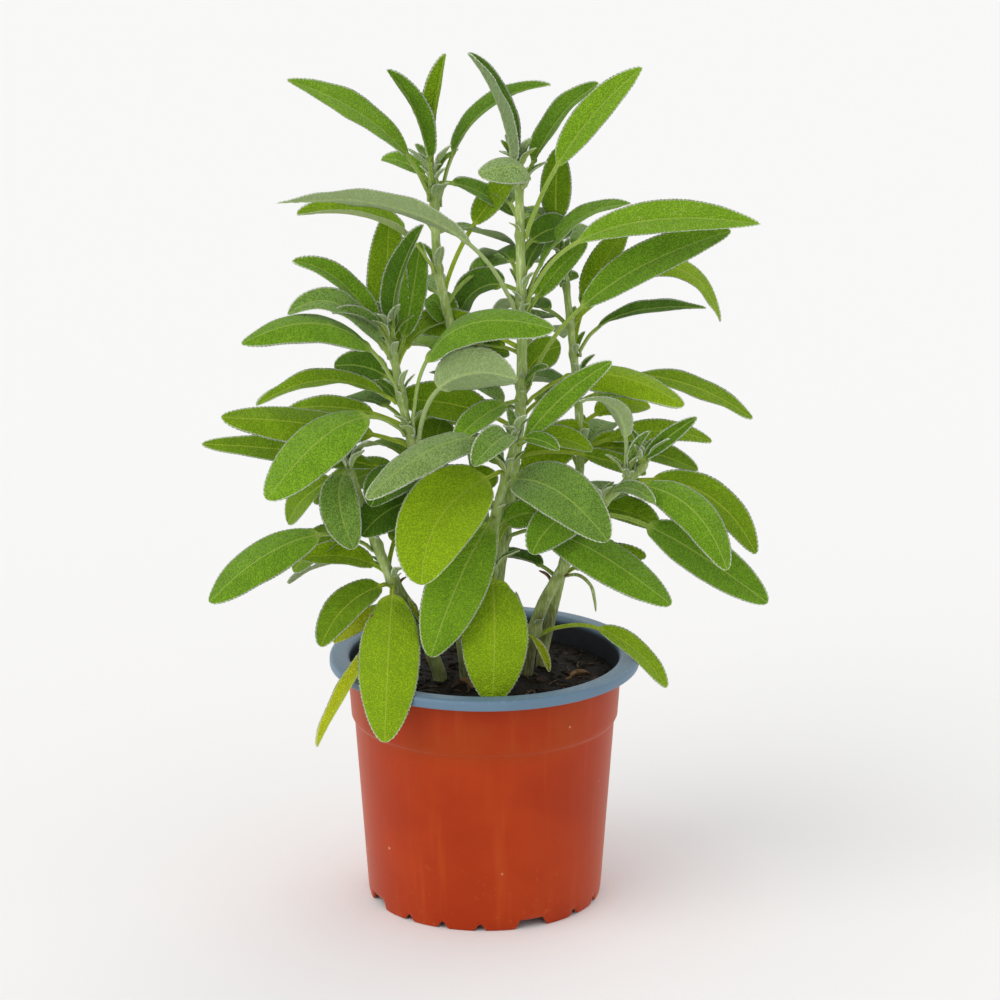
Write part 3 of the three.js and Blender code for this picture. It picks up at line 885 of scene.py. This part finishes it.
def make_stem(node, stem, joints):
    line = stem["line"]
    rows = round(line.length / STEM_ROW)
    spots = [line.length * row / rows for row in range(rows + 1)]
    frames = [framed(line, spot, Vector((1, 0.2, 0.1))) for spot in spots]
    knots = [max(ridge(spot - joint, KNOT_LENGTH) for joint in joints) for spot in spots]
    shape = bmesh.new()
    knot = shape.verts.layers.float.new("knot")

    def place(row, turn):
        centre, side, up = frames[row]
        if row in (0, rows):
            return centre.copy()
        radius = line.between(stem["radii"], spots[row])
        radius *= 1 + KNOT_SWELLING * knots[row]
        radius *= min(1, 0.5 + 0.5 * (rows - row) / 3)
        angle = 2 * math.pi * turn
        radius *= 1 + SQUARENESS * math.cos(4 * angle)
        point = centre + (side * math.cos(angle) + up * math.sin(angle)) * radius
        return point + noise.noise_vector(point / (2.4 * MM)) * 0.1 * MM

    rolled(shape, rows, STEM_COLUMNS, place)
    for v in shape.verts:
        mark = round(nearest_on(stem, v.co) / line.length * rows)
        v[knot] = knots[mark]
    tidy(shape)
    piece(node.replace("_stem", "_woolly_stem"), shape, (stem_skin,), "stem", node)


for name, stem in stems.items():
    joints = []
    for leaf in leaf_names(name):
        joint = nearest_on(stem, leaves[leaf]["line"].at(0))
        joints.append(joint)
        root_in(leaves[leaf], stem, joint)
    make_stem(name, stem, joints)
    print(name, "joints:", len(joints))

# %% [markdown]
# ## Leaf skins
# The upper side of a sage leaf is a quilt of tiny cushions between a fine net of veins, dulled by a
# felt of hairs, with a pale midrib and a pale woolly margin. The underside is paler and its net
# stands out. Both are drawn from the leaf's own map, which holds millimetres along and across the
# blade, so the net keeps its size on every leaf and runs the right way. Three values ride on the
# points: the distance to the margin, the place along the blade, and a tone of the leaf's own.

# %% The leaf's map
VEIN_PITCH = 4.3
VEIN_SLANT = 0.85
TEETH_PITCH = 1.5 * MM


def leaf_map(finish):
    """The masks that both sides of a leaf are drawn from, each from 0 to 1."""
    spot = finish.node("UVMap", {"uv_map": "leaf"})
    along = finish.node("SeparateXYZ", None, spot, out="X")
    across = abs(finish.node("SeparateXYZ", None, spot, out="Y"))
    sway = finish.speckle(0.22, spot, detail=1.0)
    branch = ((along - across * VEIN_SLANT) / VEIN_PITCH + sway * 0.5).math("PINGPONG", 0.5)
    veins = 1 - branch.ramp(0.02, 0.11)
    cells = finish.node("TexVoronoi", None, spot, Scale=1.65, out="Distance")
    teeth = (along / (TEETH_PITCH / MM)).math("PINGPONG", 0.5)
    return {
        "across": across,
        "veins": veins * (1 - across.ramp(2.0, 9.0) * 0.5),
        "cushion": 1 - cells.ramp(0.3, 0.78),
        "fine": finish.speckle(3.4, spot, detail=1.0),
        "clouds": finish.speckle(0.12, spot, detail=3.0),
        "tone": finish.attribute("tone"),
        "share": finish.attribute("share"),
        "margin": (1 - finish.attribute("edge").ramp(0.25, 0.75)) * (0.6 + teeth * 0.9),
        "stalk": finish.attribute("stalk"),
    }


print("side veins:", VEIN_PITCH, "mm apart, teeth:", TEETH_PITCH, "m apart")

# %% Upper side
WOOL = rgb(0.86, 0.92, 0.74)


def shade(colour, factor):
    return tuple(part * factor for part in colour[:3]) + (1.0,)


def upper_skin(name, deep, fresh, felt, rib, woolly=0.3, blemish=None):
    finish = Finish(name, Specular_IOR_Level=0.15, Sheen_Weight=0.05 + 0.5 * woolly,
                    Sheen_Roughness=0.35, Sheen_Tint=rgb(0.93, 1, 0.84))
    m = leaf_map(finish)
    light = (m["clouds"] * 0.9 + m["tone"] * 0.7 - 0.3).held()
    colour = finish.mix(light, deep, fresh)
    # The creases between the cushions are darkened towards half the deep green: painted shade in the
    # creases.
    colour = finish.mix((1 - m["cushion"]) * (0.45 + 0.5 * woolly), colour, shade(deep, 0.5))
    hairs = m["fine"].ramp(0.42, 0.75) * (0.4 + m["clouds"] * 0.6)
    colour = finish.mix(hairs * (0.02 + 0.5 * woolly), colour, felt)
    colour = finish.mix(m["veins"] * 0.1, colour, rib)
    midrib = 1 - (m["across"] + m["share"] * 0.2).ramp(0.15, 0.55)
    colour = finish.mix(midrib * 0.75, colour, rib)
    if blemish:
        colour = blemish(finish, m, colour)
    colour = finish.mix(m["margin"] * (0.7 + 0.35 * woolly), colour, WOOL)
    colour = finish.mix(m["stalk"] * 0.8, colour, rib)
    finish.relief(m["cushion"] * 0.8 + m["fine"] * 0.25 - m["veins"] * 0.4, 0.34 * MM)
    finish.paint(Base_Color=colour, Roughness=0.5 + m["fine"] * 0.2 + m["margin"] * 0.15)
    return finish


# %% Underside
def under_skin(name, deep, fresh, felt, rib, woolly=0.6):
    finish = Finish(name, Specular_IOR_Level=0.2, Sheen_Weight=0.3, Sheen_Roughness=0.5,
                    Sheen_Tint=rgb(0.94, 1, 0.88))
    m = leaf_map(finish)
    light = (m["clouds"] * 0.8 + m["tone"] * 0.5 - 0.15).held()
    colour = finish.mix(light, deep, fresh)
    colour = finish.mix((1 - m["cushion"]) * 0.35, colour, felt)
    colour = finish.mix(m["fine"].ramp(0.4, 0.75) * woolly, colour, felt)
    colour = finish.mix(m["veins"] * 0.5, colour, rib)
    midrib = 1 - (m["across"] + m["share"] * 0.4).ramp(0.5, 1.0)
    colour = finish.mix((midrib + m["stalk"]).held() * 0.75, colour, rib)
    colour = finish.mix(m["margin"] * 0.75, colour, WOOL)
    finish.relief((1 - m["cushion"]) * 0.7 + m["fine"] * 0.5 + m["veins"], 0.2 * MM)
    finish.paint(Base_Color=colour, Roughness=0.7 + m["fine"] * 0.2)
    return finish


print("sides of a leaf:", upper_skin.__name__, under_skin.__name__)

# %% Blemishes
def scorched(finish, m, colour):
    """Two or three brown spots where a drop of water lay in the sun."""
    spot = finish.node("UVMap", {"uv_map": "leaf"})
    drops = finish.node("TexVoronoi", None, spot, Scale=0.14, Randomness=0.9, out="Distance")
    mask = (1 - (drops + m["fine"] * 0.05).ramp(0.10, 0.15)) * (1 - m["share"].ramp(0.45, 0.6))
    return finish.mix(mask * 0.85, colour, rgb(0.22, 0.10, 0.055))


def stippled(finish, m, colour):
    """Pale dots where small insects have fed along the middle of the blade."""
    spot = finish.node("UVMap", {"uv_map": "leaf"})
    dots = finish.node("TexVoronoi", None, spot, Scale=1.1, out="Distance")
    chosen = finish.speckle(0.16, spot, detail=0.0).ramp(0.52, 0.6)
    mask = (1 - dots.ramp(0.12, 0.3)) * chosen * (1 - m["share"].ramp(0.6, 0.8))
    return finish.mix(mask * 0.8, colour, rgb(0.62, 0.58, 0.26))


print("blemishes:", scorched.__name__, stippled.__name__)

# %% Colours of the skins
# A skin has four colours: deep and fresh green, the felt of hairs and the rib.
FELT = rgb(0.50, 0.62, 0.27)
RIB = rgb(0.38, 0.52, 0.09)
YELLOW_RIB = rgb(0.42, 0.55, 0.05)
DARK = rgb(0.055, 0.150, 0.001), rgb(0.165, 0.350, 0.005), FELT, RIB
GREEN = rgb(0.110, 0.260, 0.001), rgb(0.265, 0.520, 0.008), FELT, RIB
# The olive and sunny greens are the yellower green of older leaves, painted brighter as painted light
# shining through the leaves from behind.
OLIVE = rgb(0.145, 0.285, 0.001), rgb(0.310, 0.520, 0.002), FELT, YELLOW_RIB
SUNNY = rgb(0.195, 0.350, 0.001), rgb(0.370, 0.585, 0.002), FELT, YELLOW_RIB
YELLOW = rgb(0.440, 0.540, 0.003), rgb(0.690, 0.750, 0.020), FELT, YELLOW_RIB
GREY = rgb(0.125, 0.275, 0.012), rgb(0.275, 0.495, 0.055), FELT, RIB
BRIGHT = rgb(0.165, 0.350, 0.001), rgb(0.330, 0.600, 0.010), FELT, RIB
SILVER = rgb(0.210, 0.360, 0.060), rgb(0.380, 0.560, 0.170), rgb(0.56, 0.66, 0.38), RIB
PALE_UNDER = rgb(0.17, 0.28, 0.05), rgb(0.27, 0.39, 0.11), rgb(0.48, 0.58, 0.34), rgb(0.42, 0.53, 0.2)
SLATE_UNDER = rgb(0.08, 0.16, 0.02), rgb(0.17, 0.28, 0.07), rgb(0.36, 0.46, 0.25), rgb(0.38, 0.48, 0.2)
OLIVE_UNDER = rgb(0.18, 0.29, 0.02), rgb(0.29, 0.41, 0.05), rgb(0.46, 0.55, 0.22), rgb(0.42, 0.52, 0.12)
SKINS = {
    # name: upper side and how woolly it is, underside
    "green": (GREEN + (0.3,), PALE_UNDER),
    "dark": (DARK + (0.15,), PALE_UNDER),
    "olive": (OLIVE + (0.12,), OLIVE_UNDER),
    "sunny": (SUNNY + (0.12,), OLIVE_UNDER),
    "yellow": (YELLOW + (0.12,), OLIVE_UNDER),
    "grey": (GREY + (0.75,), PALE_UNDER),
    "bright": (BRIGHT + (0.3,), PALE_UNDER),
    "silver": (SILVER + (0.65,), PALE_UNDER),
    "slate": (DARK + (0.3,), SLATE_UNDER),
    "stippled": (BRIGHT + (0.3, stippled), PALE_UNDER),
    "scorched": (SUNNY + (0.12, scorched), OLIVE_UNDER),
}
skins = {
    name: (upper_skin(name + "_upper_skin", *upper), under_skin(name + "_under_skin", *under))
    for name, (upper, under) in SKINS.items()
}
print("leaf skins:", sorted(skins))

# %% [markdown]
# ## Leaves
# A sage leaf is a grooved stalk that runs on as the midrib of a blade. The blade has side veins that
# sink into its upper side, soft quilting between them and a margin with many small rounded teeth.
# Its halves fold up a little, and its edges sway. All of these are in the mesh, because they show in
# the outline and catch the light. Only the net of the finest veins is left to the finish.

# %% Rows of a leaf
STALK_HALF = 0.9 * MM
TEETH_DEPTH = 0.36 * MM
EXTRA_FOLD = math.radians(7)
VEIN_GROOVE = 0.26 * MM
PUFF_HEIGHT = 0.16 * MM
PUFF_SIZE = 2.6 * MM
TROUGH_DEPTH = 0.42 * MM
MIDRIB_HEIGHT = 0.85 * MM
EDGE_ROUNDING = 1.15
PLANT_MIDDLE = 195 * MM
STALK_ROW_LENGTH = 1.8 * MM
ROW_LENGTH = 0.56 * MM
COLUMN_WIDTH = 0.85 * MM
FULL_DETAIL_HALF = 6 * MM


def blunt_outline(share, power):
    """As outline, with rounder ends where power is small."""
    return math.sin(math.pi * min(1, max(0, share)) ** 0.9) ** power


def leaf_rows(leaf, stalk_half, detail, curl):
    """A leaf's rows from foot to tip: where each is, which way it lies and how wide it is."""
    line, half, blade = leaf["line"], leaf["half"], leaf["blade"]
    # The narrow young leaves high on the plant are pointed, and the others are blunt.
    slender = 1 - smoothstep(0.10, 0.17, half / blade)
    high = smoothstep(PLANT_MIDDLE, PLANT_MIDDLE + 50 * MM, line.points[0].z)
    foot_power = lerp(0.5, 0.7, slender)
    tip_power = lerp(0.53, 0.8, slender * high)
    stalk = line.length - blade
    stalk_rows = max(3, round(stalk / STALK_ROW_LENGTH))
    blade_rows = max(18, round(blade / ROW_LENGTH))
    frames = []
    for row in range(stalk_rows + blade_rows + 1):
        if row < stalk_rows:
            spot = stalk * row / stalk_rows
            share = 0.0
        else:
            even = (row - stalk_rows) / blade_rows
            share = lerp(even, (1 - math.cos(math.pi * even)) / 2, 0.35)
            spot = stalk + blade * share
        centre, side, up = framed(line, spot, line.between(leaf["sides"], spot))
        wide = half * blunt_outline(share, lerp(foot_power, tip_power, smoothstep(0.5, 1, share)))
        tooth = abs(math.sin(math.pi * blade * share / TEETH_PITCH))
        wide += TEETH_DEPTH * detail * (tooth - 0.5) * smoothstep(0.02, 0.15, share) * (share < 0.99)
        frames.append({
            "centre": centre + up * curl * detail * smoothstep(0.6, 1.0, share) * -1,
            "side": side, "up": up, "share": share, "spot": spot,
            "leafy": smoothstep(0.0, 0.07, share),
            "wide": max(wide, stalk_half * (1 + 0.35 * ridge(spot, 3 * MM)) * (1 - share)),
        })
    return frames


sample_rows = leaf_rows(leaves["left_stem_leaf_1"], STALK_HALF, 1, 0)
print("rows of one leaf:", len(sample_rows), "widest:", round(max(f["wide"] for f in sample_rows), 4))

# %% Make a leaf
def leaf_shape(shape, leaf, seed, skin_index=0):
    """Adds one leaf to shape. The leaf's line starts inside the stem's skin."""
    rand = random.Random(seed)
    tone = rand.random()
    camber = rand.uniform(-0.04, 0.14)
    sway = rand.uniform(0.5, 1.4) * MM
    curl = rand.uniform(-0.6, 1.6) * MM
    shift = Vector((rand.uniform(0, 99), rand.uniform(0, 99), 0))
    half = leaf["half"]
    fold = leaf["fold"] + math.copysign(EXTRA_FOLD, leaf["fold"])
    stalk_half = min(STALK_HALF, 0.16 * half + 0.2 * MM)
    detail = min(1, half / FULL_DETAIL_HALF)
    columns = 2 * max(5, round(half / COLUMN_WIDTH))
    frames = leaf_rows(leaf, stalk_half, detail, curl)
    rows = len(frames) - 1

    def across(turn):
        even = 1 - 4 * turn if turn <= 0.5 else 4 * turn - 3
        return math.copysign(abs(even) ** EDGE_ROUNDING, even)

    def place(row, turn):
        f = frames[row]
        if row in (0, rows):
            return f["centre"].copy()
        v = across(turn)
        x = v * f["wide"]
        fade = 1 - abs(v) ** 3
        round_off = math.sqrt(max(0, 1 - v * v))
        folded = fold * f["leafy"]
        vein = (f["spot"] - VEIN_SLANT * abs(x)) / (VEIN_PITCH * MM)
        groove = ridge(abs(vein - round(vein)), 0.16) * smoothstep(0.4 * MM, 1.5 * MM, abs(x))
        puff = noise.noise(Vector((f["spot"], x, 0)) / PUFF_SIZE + shift)
        lift = abs(v) ** EDGE_ROUNDING * f["wide"] * math.sin(folded)
        lift -= camber * f["wide"] * v * v * f["leafy"]
        lift += sway * detail * v * v * noise.noise(Vector((f["spot"] / (11 * MM), v, 3)) + shift)
        quilt = (PUFF_HEIGHT * puff - VEIN_GROOVE * groove) * fade * detail
        trough = -TROUGH_DEPTH * ridge(x, 0.7 * MM) * (1 - 0.6 * f["share"]) * detail
        if turn <= 0.5:
            upper = 0.5 * stalk_half * round_off - 0.45 * stalk_half * ridge(v, 0.4)
            z = lerp(upper, lift + quilt + trough + 0.10 * MM * fade, f["leafy"])
        else:
            rib = MIDRIB_HEIGHT * ridge(x, 0.75 * MM) * (1 - 0.65 * f["share"]) * detail
            under = -1.05 * stalk_half * round_off
            z = lerp(under, lift + quilt - 0.16 * MM * groove * fade - rib - 0.14 * MM * fade, f["leafy"])
        return f["centre"] + f["side"] * x * math.cos(folded) + f["up"] * z

    uv = shape.loops.layers.uv.get("leaf") or shape.loops.layers.uv.new("leaf")
    names = ("edge", "share", "stalk", "tone")
    layers = {n: shape.verts.layers.float.get(n) or shape.verts.layers.float.new(n) for n in names}

    def mark(face, where):
        turns = [where[v][1] for v in face.verts]
        face.material_index = 2 * skin_index + int(sum(turns) / len(turns) > 0.5)
        for loop in face.loops:
            row, turn = where[loop.vert]
            f = frames[row]
            v = across(turn)
            loop[uv].uv = (f["spot"] / MM + shift.x, v * f["wide"] / MM)
            loop.vert[layers["edge"]] = (1 - abs(v)) * f["wide"] / MM + 2 * (1 - f["leafy"])
            loop.vert[layers["share"]] = f["share"]
            loop.vert[layers["stalk"]] = 1 - f["leafy"]
            loop.vert[layers["tone"]] = tone

    rolled(shape, rows, 2 * columns, place, mark)


trial = bmesh.new()
leaf_shape(trial, leaves["left_stem_leaf_1"], "trial")
print("faces of one leaf:", len(trial.faces))
trial.free()

# %% The leaves that have a solid
LEAF_SKIN = {
    "tall_stem": "slate bright green silver green stippled green grey sunny green",
    "upper_left_stem": "bright green olive green olive",
    "left_stem": "green grey olive dark green grey green olive olive olive green dark dark",
    "lower_left_stem": "grey green olive yellow scorched",
    "front_stem": "silver green sunny grey bright sunny",
    "right_stem": "olive sunny dark olive olive",
    "lower_right_stem": "grey dark green olive green green sunny",
}
total = 0
for stem, words in LEAF_SKIN.items():
    for number, skin in enumerate(words.split(), 1):
        node = f"{stem}_leaf_{number}"
        shape = bmesh.new()
        leaf_shape(shape, leaves[node], node)
        tidy(shape)
        made = piece(node.replace("_stem_leaf", "_sage_leaf"), shape, skins[skin], "leaf", node)
        total += len(made.data.polygons)
print("leaves:", len(leaves), "faces:", total)

# %% [markdown]
# ## The smaller leaves
# A real plant has many more leaves than the fifty-one that have a solid: smaller ones further back,
# young ones in the corners between a stalk and its stem, and a tuft at each shoot's end. They are
# made by the same function. Each stem's are joined into one piece, because hundreds of loose pieces
# would be hard to handle. A leaf is given by where its tip is and how its line bows, as a gardener
# would bend it.

# %% A leaf from its foot, tip and bow
def new_leaf(stem, at, tip, width, bow=(0, 0, 4), lead=0.35, stalk=0.25, faces=(0, -6, 8), fold=10):
    """A leaf's shape. at is the height on the stem, and all sizes are in millimetres."""
    joint = height_on(stem, at * MM)
    foot = stem["line"].at(joint)
    end = Vector(tip) * MM
    pull = foot.lerp(end, lead) + Vector(bow) * 2 * MM
    steps = 14
    points = [
        foot * (1 - t) ** 2 + pull * 2 * t * (1 - t) + end * t * t
        for t in (step / steps for step in range(steps + 1))
    ]
    line = Line(points)
    up = Vector(faces).normalized()
    sides = [line.direction(mark).cross(up).normalized() for mark in line.marks]
    return {
        "line": line, "sides": sides, "half": width / 2 * MM,
        "blade": line.length * (1 - stalk), "fold": math.radians(fold),
    }


sample = new_leaf(stems["tall_stem"], 240, (-11, 14, 228), 17)
print("a leaf further back:", round(sample["line"].length, 4), "m long")

# %% Leaves further back
TIPPED = {"faces": (0, -8, 5)}
STEEP = {"faces": (0, -8, 4)}
UPRIGHT = {"faces": (0, -9, 3)}
BACK_LEAVES = {
    # skin, height on the stem, tip, width, and what differs from new_leaf's usual values
    "tall_stem": (
        ("dark", 240, (-11, 14, 228), 17, {"bow": (-3, 3, 6)}),
        ("green", 228, (39, 6, 258), 11, {"stalk": 0.3}),
        ("dark", 235, (36, 22, 242), 9, {}),
        ("green", 198, (-11, -30, 191), 12, {"bow": (0, 0, 3)}),
        ("olive", 186, (-34, -4, 200), 16, TIPPED),
        ("sunny", 160, (40, 10, 186), 17, UPRIGHT),
        ("olive", 218, (-32, 10, 226), 13, TIPPED),
        ("dark", 255, (34, 16, 262), 13, TIPPED),
        ("olive", 175, (62, 4, 168), 10, {"stalk": 0.5, "bow": (0, 0, 5)}),
        ("olive", 205, (29, 10, 217), 13, UPRIGHT),
        ("dark", 200, (24, -12, 214), 6, {}),
    ),
    "upper_left_stem": (
        ("green", 279, (-39, 18, 288), 9, {"stalk": 0.25}),
        ("green", 281, (12, 18, 266), 10, {"stalk": 0.2}),
        ("olive", 238, (12, 14, 283), 12, {"stalk": 0.55, "bow": (-2, 2, 4)}),
        ("sunny", 186, (-27, 22, 175), 22, {}),
        ("sunny", 173, (-3, 4, 160), 18, TIPPED),
        ("green", 222, (-22, 14, 236), 13, {}),
        ("olive", 205, (10, 16, 214), 13, {}),
    ),
    "left_stem": (
        ("green", 214, (-24, 4, 259), 11, {"bow": (1, 2, 0), "faces": (0, -9, 2)}),
        ("grey", 224, (-56, -30, 239), 9, {"fold": 40}),
        ("dark", 206, (-57, -4, 213), 13, {"faces": (0, -8, 6)}),
        ("olive", 191, (-75, -2, 196), 10, {"stalk": 0.3, "bow": (0, 0, 4)}),
        ("dark", 196, (-47, 10, 206), 13, {}),
        ("olive", 176, (-66, 2, 158), 17, {}),
        ("olive", 168, (-16, 6, 190), 16, {"faces": (0, -9, 2)}),
    ),
    "lower_left_stem": (
        ("olive", 174, (-76, -8, 152), 15, {"bow": (-3, 0, 3)}),
        ("sunny", 134, (-70, -20, 142), 12, {"stalk": 0.2}),
        ("olive", 150, (-74, -4, 132), 16, {"bow": (-2, 0, 5)}),
        ("yellow", 120, (-58, -14, 106), 9, {"stalk": 0.2}),
        ("yellow", 112, (-18, -22, 122), 6, {"stalk": 0.2}),
    ),
    "front_stem": (
        ("grey", 187, (-4, -44, 185), 13, {"bow": (2, -2, 6)}),
        ("dark", 186, (28, -34, 188), 8, {"bow": (0, 0, 3)}),
        ("olive", 184, (41, -16, 183), 11, {"bow": (0, 0, 5)}),
        ("olive", 160, (-24, -8, 168), 15, STEEP),
        ("green", 150, (24, -18, 158), 12, STEEP),
    ),
    "right_stem": (
        ("olive", 213, (54, 24, 260), 13, {"stalk": 0.4, "bow": (-3, 2, 2)}),
        ("green", 194, (66, 12, 196), 9, {"stalk": 0.25}),
        ("sunny", 185, (64, 26, 189), 12, {}),
        ("olive", 174, (83, 18, 166), 12, {"bow": (0, 0, 5)}),
        ("sunny", 170, (58, 16, 172), 16, STEEP),
        ("olive", 150, (68, 8, 146), 14, {"bow": (0, 0, 5)}),
    ),
    "lower_right_stem": (
        ("grey", 172, (62, -22, 192), 8, {"bow": (-1, 0, 1), "fold": 45, "stalk": 0.1}),
        ("grey", 161, (64, -32, 167), 8, {"bow": (0, 0, 6)}),
        ("green", 150, (34, -10, 168), 11, STEEP),
        ("olive", 128, (62, -6, 138), 12, {"bow": (0, 0, 5)}),
    ),
}


print("leaves further back:", sum(len(rows) for rows in BACK_LEAVES.values()))

# %% Leaves on the far side
REAR_HEIGHTS = {
    "tall_stem": (266, 242, 216, 190, 166),
    "upper_left_stem": (262, 234, 208, 182),
    "left_stem": (214, 192, 168),
    "lower_left_stem": (158, 136),
    "front_stem": (140,),
    "right_stem": (246, 222, 196, 168, 144),
    "lower_right_stem": (152, 130),
}
REAR_LIMIT = 60
REAR_REACH = (32, 52)
REAR_SPREAD = (0.25, 1.0)


def rear_pairs(stem, heights, rand):
    """Pairs of leaves that lean away to the back, each with its skin."""
    made = []
    for at in heights:
        foot = stem["line"].at(height_on(stem, at * MM)) / MM
        for side in (-1, 1):
            turn = math.pi / 2 + side * rand.uniform(*REAR_SPREAD)
            out = Vector((math.cos(turn), math.sin(turn)))
            reach = min(rand.uniform(*REAR_REACH), (REAR_LIMIT - foot.y) / out.y)
            tip = (foot.x + out.x * reach, foot.y + out.y * reach, foot.z + rand.uniform(-14, 16))
            width = rand.uniform(0.28, 0.36) * max(reach, 30)
            faces = (out.x * 3, out.y * 3, 8)
            leaf = new_leaf(stem, at, tip, width, (0, 0, rand.uniform(3, 9)), 0.3,
                            rand.uniform(0.2, 0.32), faces, rand.uniform(5, 25))
            skin = rand.choice(("green", "dark", "olive", "olive", "grey"))
            made.append((leaf, skin))
    return made


print("leaves on the far side:", 2 * sum(len(heights) for heights in REAR_HEIGHTS.values()))

# %% Young leaves
def young_pair(place, heading, length, rand):
    """Two small leaves that part at a place on a stem, upwards and to both sides."""
    pair = []
    for turn in (-1, 1):
        angle = heading + turn * rand.uniform(1.0, 1.7)
        out = Vector((math.cos(angle), math.sin(angle), rand.uniform(0.8, 1.7))).normalized()
        end = place + out * length
        middle = place.lerp(end, 0.45) + Vector((0, 0, 0.12 * length))
        line = Line([place, place.lerp(middle, 0.5), middle, middle.lerp(end, 0.55), end])
        across = out.cross(Vector((0, 0, 1))).normalized()
        pair.append({
            "line": line, "sides": [across] * 5, "half": length * rand.uniform(0.14, 0.19),
            "blade": line.length * 0.86, "fold": math.radians(rand.uniform(15, 45)),
        })
    return pair


sprouts = random.Random(23)
SKIN_ORDER = sorted(skins)
LEAF_FINISHES = [finish for skin in SKIN_ORDER for finish in skins[skin]]
TUFT = (15, 10, 6)


def add_leaf(shape, leaf, seed, skin):
    leaf_shape(shape, leaf, seed, SKIN_ORDER.index(skin))


def add_tuft(shape, name):
    """Three pairs of young leaves at a shoot's end, each pair shorter than the one below."""
    line = stems[name]["line"]
    for step, length in enumerate(TUFT):
        place = line.at(line.length - 1.5 * MM + step * 0.6 * MM)
        for leaf in young_pair(place, 0.7 + 1.57 * step, length * MM, sprouts):
            add_leaf(shape, leaf, f"{name} top {step}", "grey")


def add_corner_leaves(shape, name):
    """A young pair in the corner between each leaf's stalk and its stem."""
    for node in leaf_names(name):
        line = leaves[node]["line"]
        ahead = line.at(8 * MM) - line.points[0]
        heading = math.atan2(ahead.y, ahead.x)
        length = sprouts.uniform(6, 15) * MM
        skin = sprouts.choice(("grey", "green", "olive", "grey"))
        for leaf in young_pair(line.points[0], heading, length, sprouts):
            add_leaf(shape, leaf, node + str(length), skin)


print("young leaves:", 2 * len(TUFT) * len(stems), "in tufts and", 2 * len(leaves), "in corners")

# %% All small leaves of each stem together
rear = random.Random(31)
for name, rows in BACK_LEAVES.items():
    stem = stems[name]
    shape = bmesh.new()
    for number, (skin, at, tip, width, more) in enumerate(rows):
        add_leaf(shape, new_leaf(stem, at, tip, width, **more), f"{name} {number}", skin)
    for number, (leaf, skin) in enumerate(rear_pairs(stem, REAR_HEIGHTS[name], rear)):
        add_leaf(shape, leaf, f"{name} rear {number}", skin)
    add_tuft(shape, name)
    add_corner_leaves(shape, name)
    tidy(shape)
    made = piece(name.replace("_stem", "_small_leaves"), shape, LEAF_FINISHES, "leaf")
    print(name, "small leaves, faces:", len(made.data.polygons))

# %% [markdown]
# ## Down on the compost
# Low down, where the plant is old, a few small things tell that it is alive: pale young shoots that
# hang to the compost, leaves that have died and curled up brown, buds that withered at the old
# joints, and a stalk whose leaf has fallen. They need no tools of their own, because a bud is a
# small pair of leaves and a stalk is a tube.

# %% Low shoots and dead leaves
def loose_leaf(points, half, fold, share=0.85, up=(0, -0.5, 1)):
    line = Line([Vector(point) * MM for point in points])
    sides = [line.direction(mark).cross(Vector(up)).normalized() for mark in line.marks]
    return {"line": line, "sides": sides, "half": half * MM, "blade": line.length * share,
            "fold": math.radians(fold)}


LOW_SHOOTS = (
    # skin, points, half width, fold
    ("yellow", ((17, -8, 108), (20, -10.5, 105), (23, -12.5, 100), (25, -13.5, 94)), 2.3, 30),
    ("olive", ((15, -9, 112), (15, -12, 116), (13, -14, 121), (12, -15, 127)), 1.7, 40),
    ("yellow", ((-22, -14, 112), (-24, -17, 115), (-27, -19, 120), (-29, -20, 126)), 2.0, 35),
    ("sunny", ((-8, -10, 104), (-6, -14, 108), (-2, -18, 110), (2, -21, 110)), 2.0, 25),
)
shape = bmesh.new()
for number, (skin, points, half, fold) in enumerate(LOW_SHOOTS):
    add_leaf(shape, loose_leaf(points, half, fold), f"low {number}", skin)
tidy(shape)
piece("low_shoots", shape, LEAF_FINISHES, "leaf")

DEAD_LEAF_HEIGHT = 91.6
DEAD_LEAVES = (
    # x and y of its foot, the way it points, length
    (31, -15, 0.4, 11),
    (-4, -27, 2.4, 9),
    (12, 22, 4.0, 12),
)
shape = bmesh.new()
for number, (x, y, turn, size) in enumerate(DEAD_LEAVES):
    height = DEAD_LEAF_HEIGHT + 0.6 * number
    trail = [
        (x + size * t * math.cos(turn), y + size * t * math.sin(turn), height + 4 * t * (1 - t))
        for t in (0, 0.25, 0.5, 0.75, 1)
    ]
    leaf_shape(shape, loose_leaf(trail, 2.6, 38, 0.8, (0, 0, 1)), f"dead {number}")
tidy(shape)
piece("dead_leaves", shape, (dead_skin, dead_skin), "leaf")
print("low shoots:", len(LOW_SHOOTS), "dead leaves:", len(DEAD_LEAVES))

# %% Withered buds and a bare stalk
BUDS = (
    # stem, height, the way it points, length
    ("tall_stem", 145, -1.2, 7),
    ("tall_stem", 161, -2.4, 6),
    ("lower_right_stem", 127, -2.0, 8),
    ("lower_right_stem", 136, -1.0, 7),
    ("lower_left_stem", 128, -1.4, 6),
    ("right_stem", 140, 1.8, 6),
)
withered = random.Random(47)
shape = bmesh.new()
for number, (name, at, heading, length) in enumerate(BUDS):
    place = stems[name]["line"].at(height_on(stems[name], at * MM))
    for bud in young_pair(place, heading, length * MM, withered):
        leaf_shape(shape, bud, f"bud {number}")
tidy(shape)
piece("withered_buds", shape, (dead_skin, dead_skin), "leaf")

# Its leaf has fallen, and the stalk is left, arching over the compost.
BARE_STALK = ((3, 0, 1.5), (8, 1, 2), (13, 2, -2), (15, 3, -9), (15.5, 3.5, -14))
stem = stems["lower_right_stem"]
core = stem["line"].at(height_on(stem, 129 * MM))
shape = bmesh.new()
rootlet(shape, [core] + [core + Vector(step) * MM for step in BARE_STALK], 0.75 * MM)
tidy(shape)
piece("bare_stalk", shape, (stem_skin,), "stem")
print("withered buds:", 2 * len(BUDS), "bare stalks: 1")
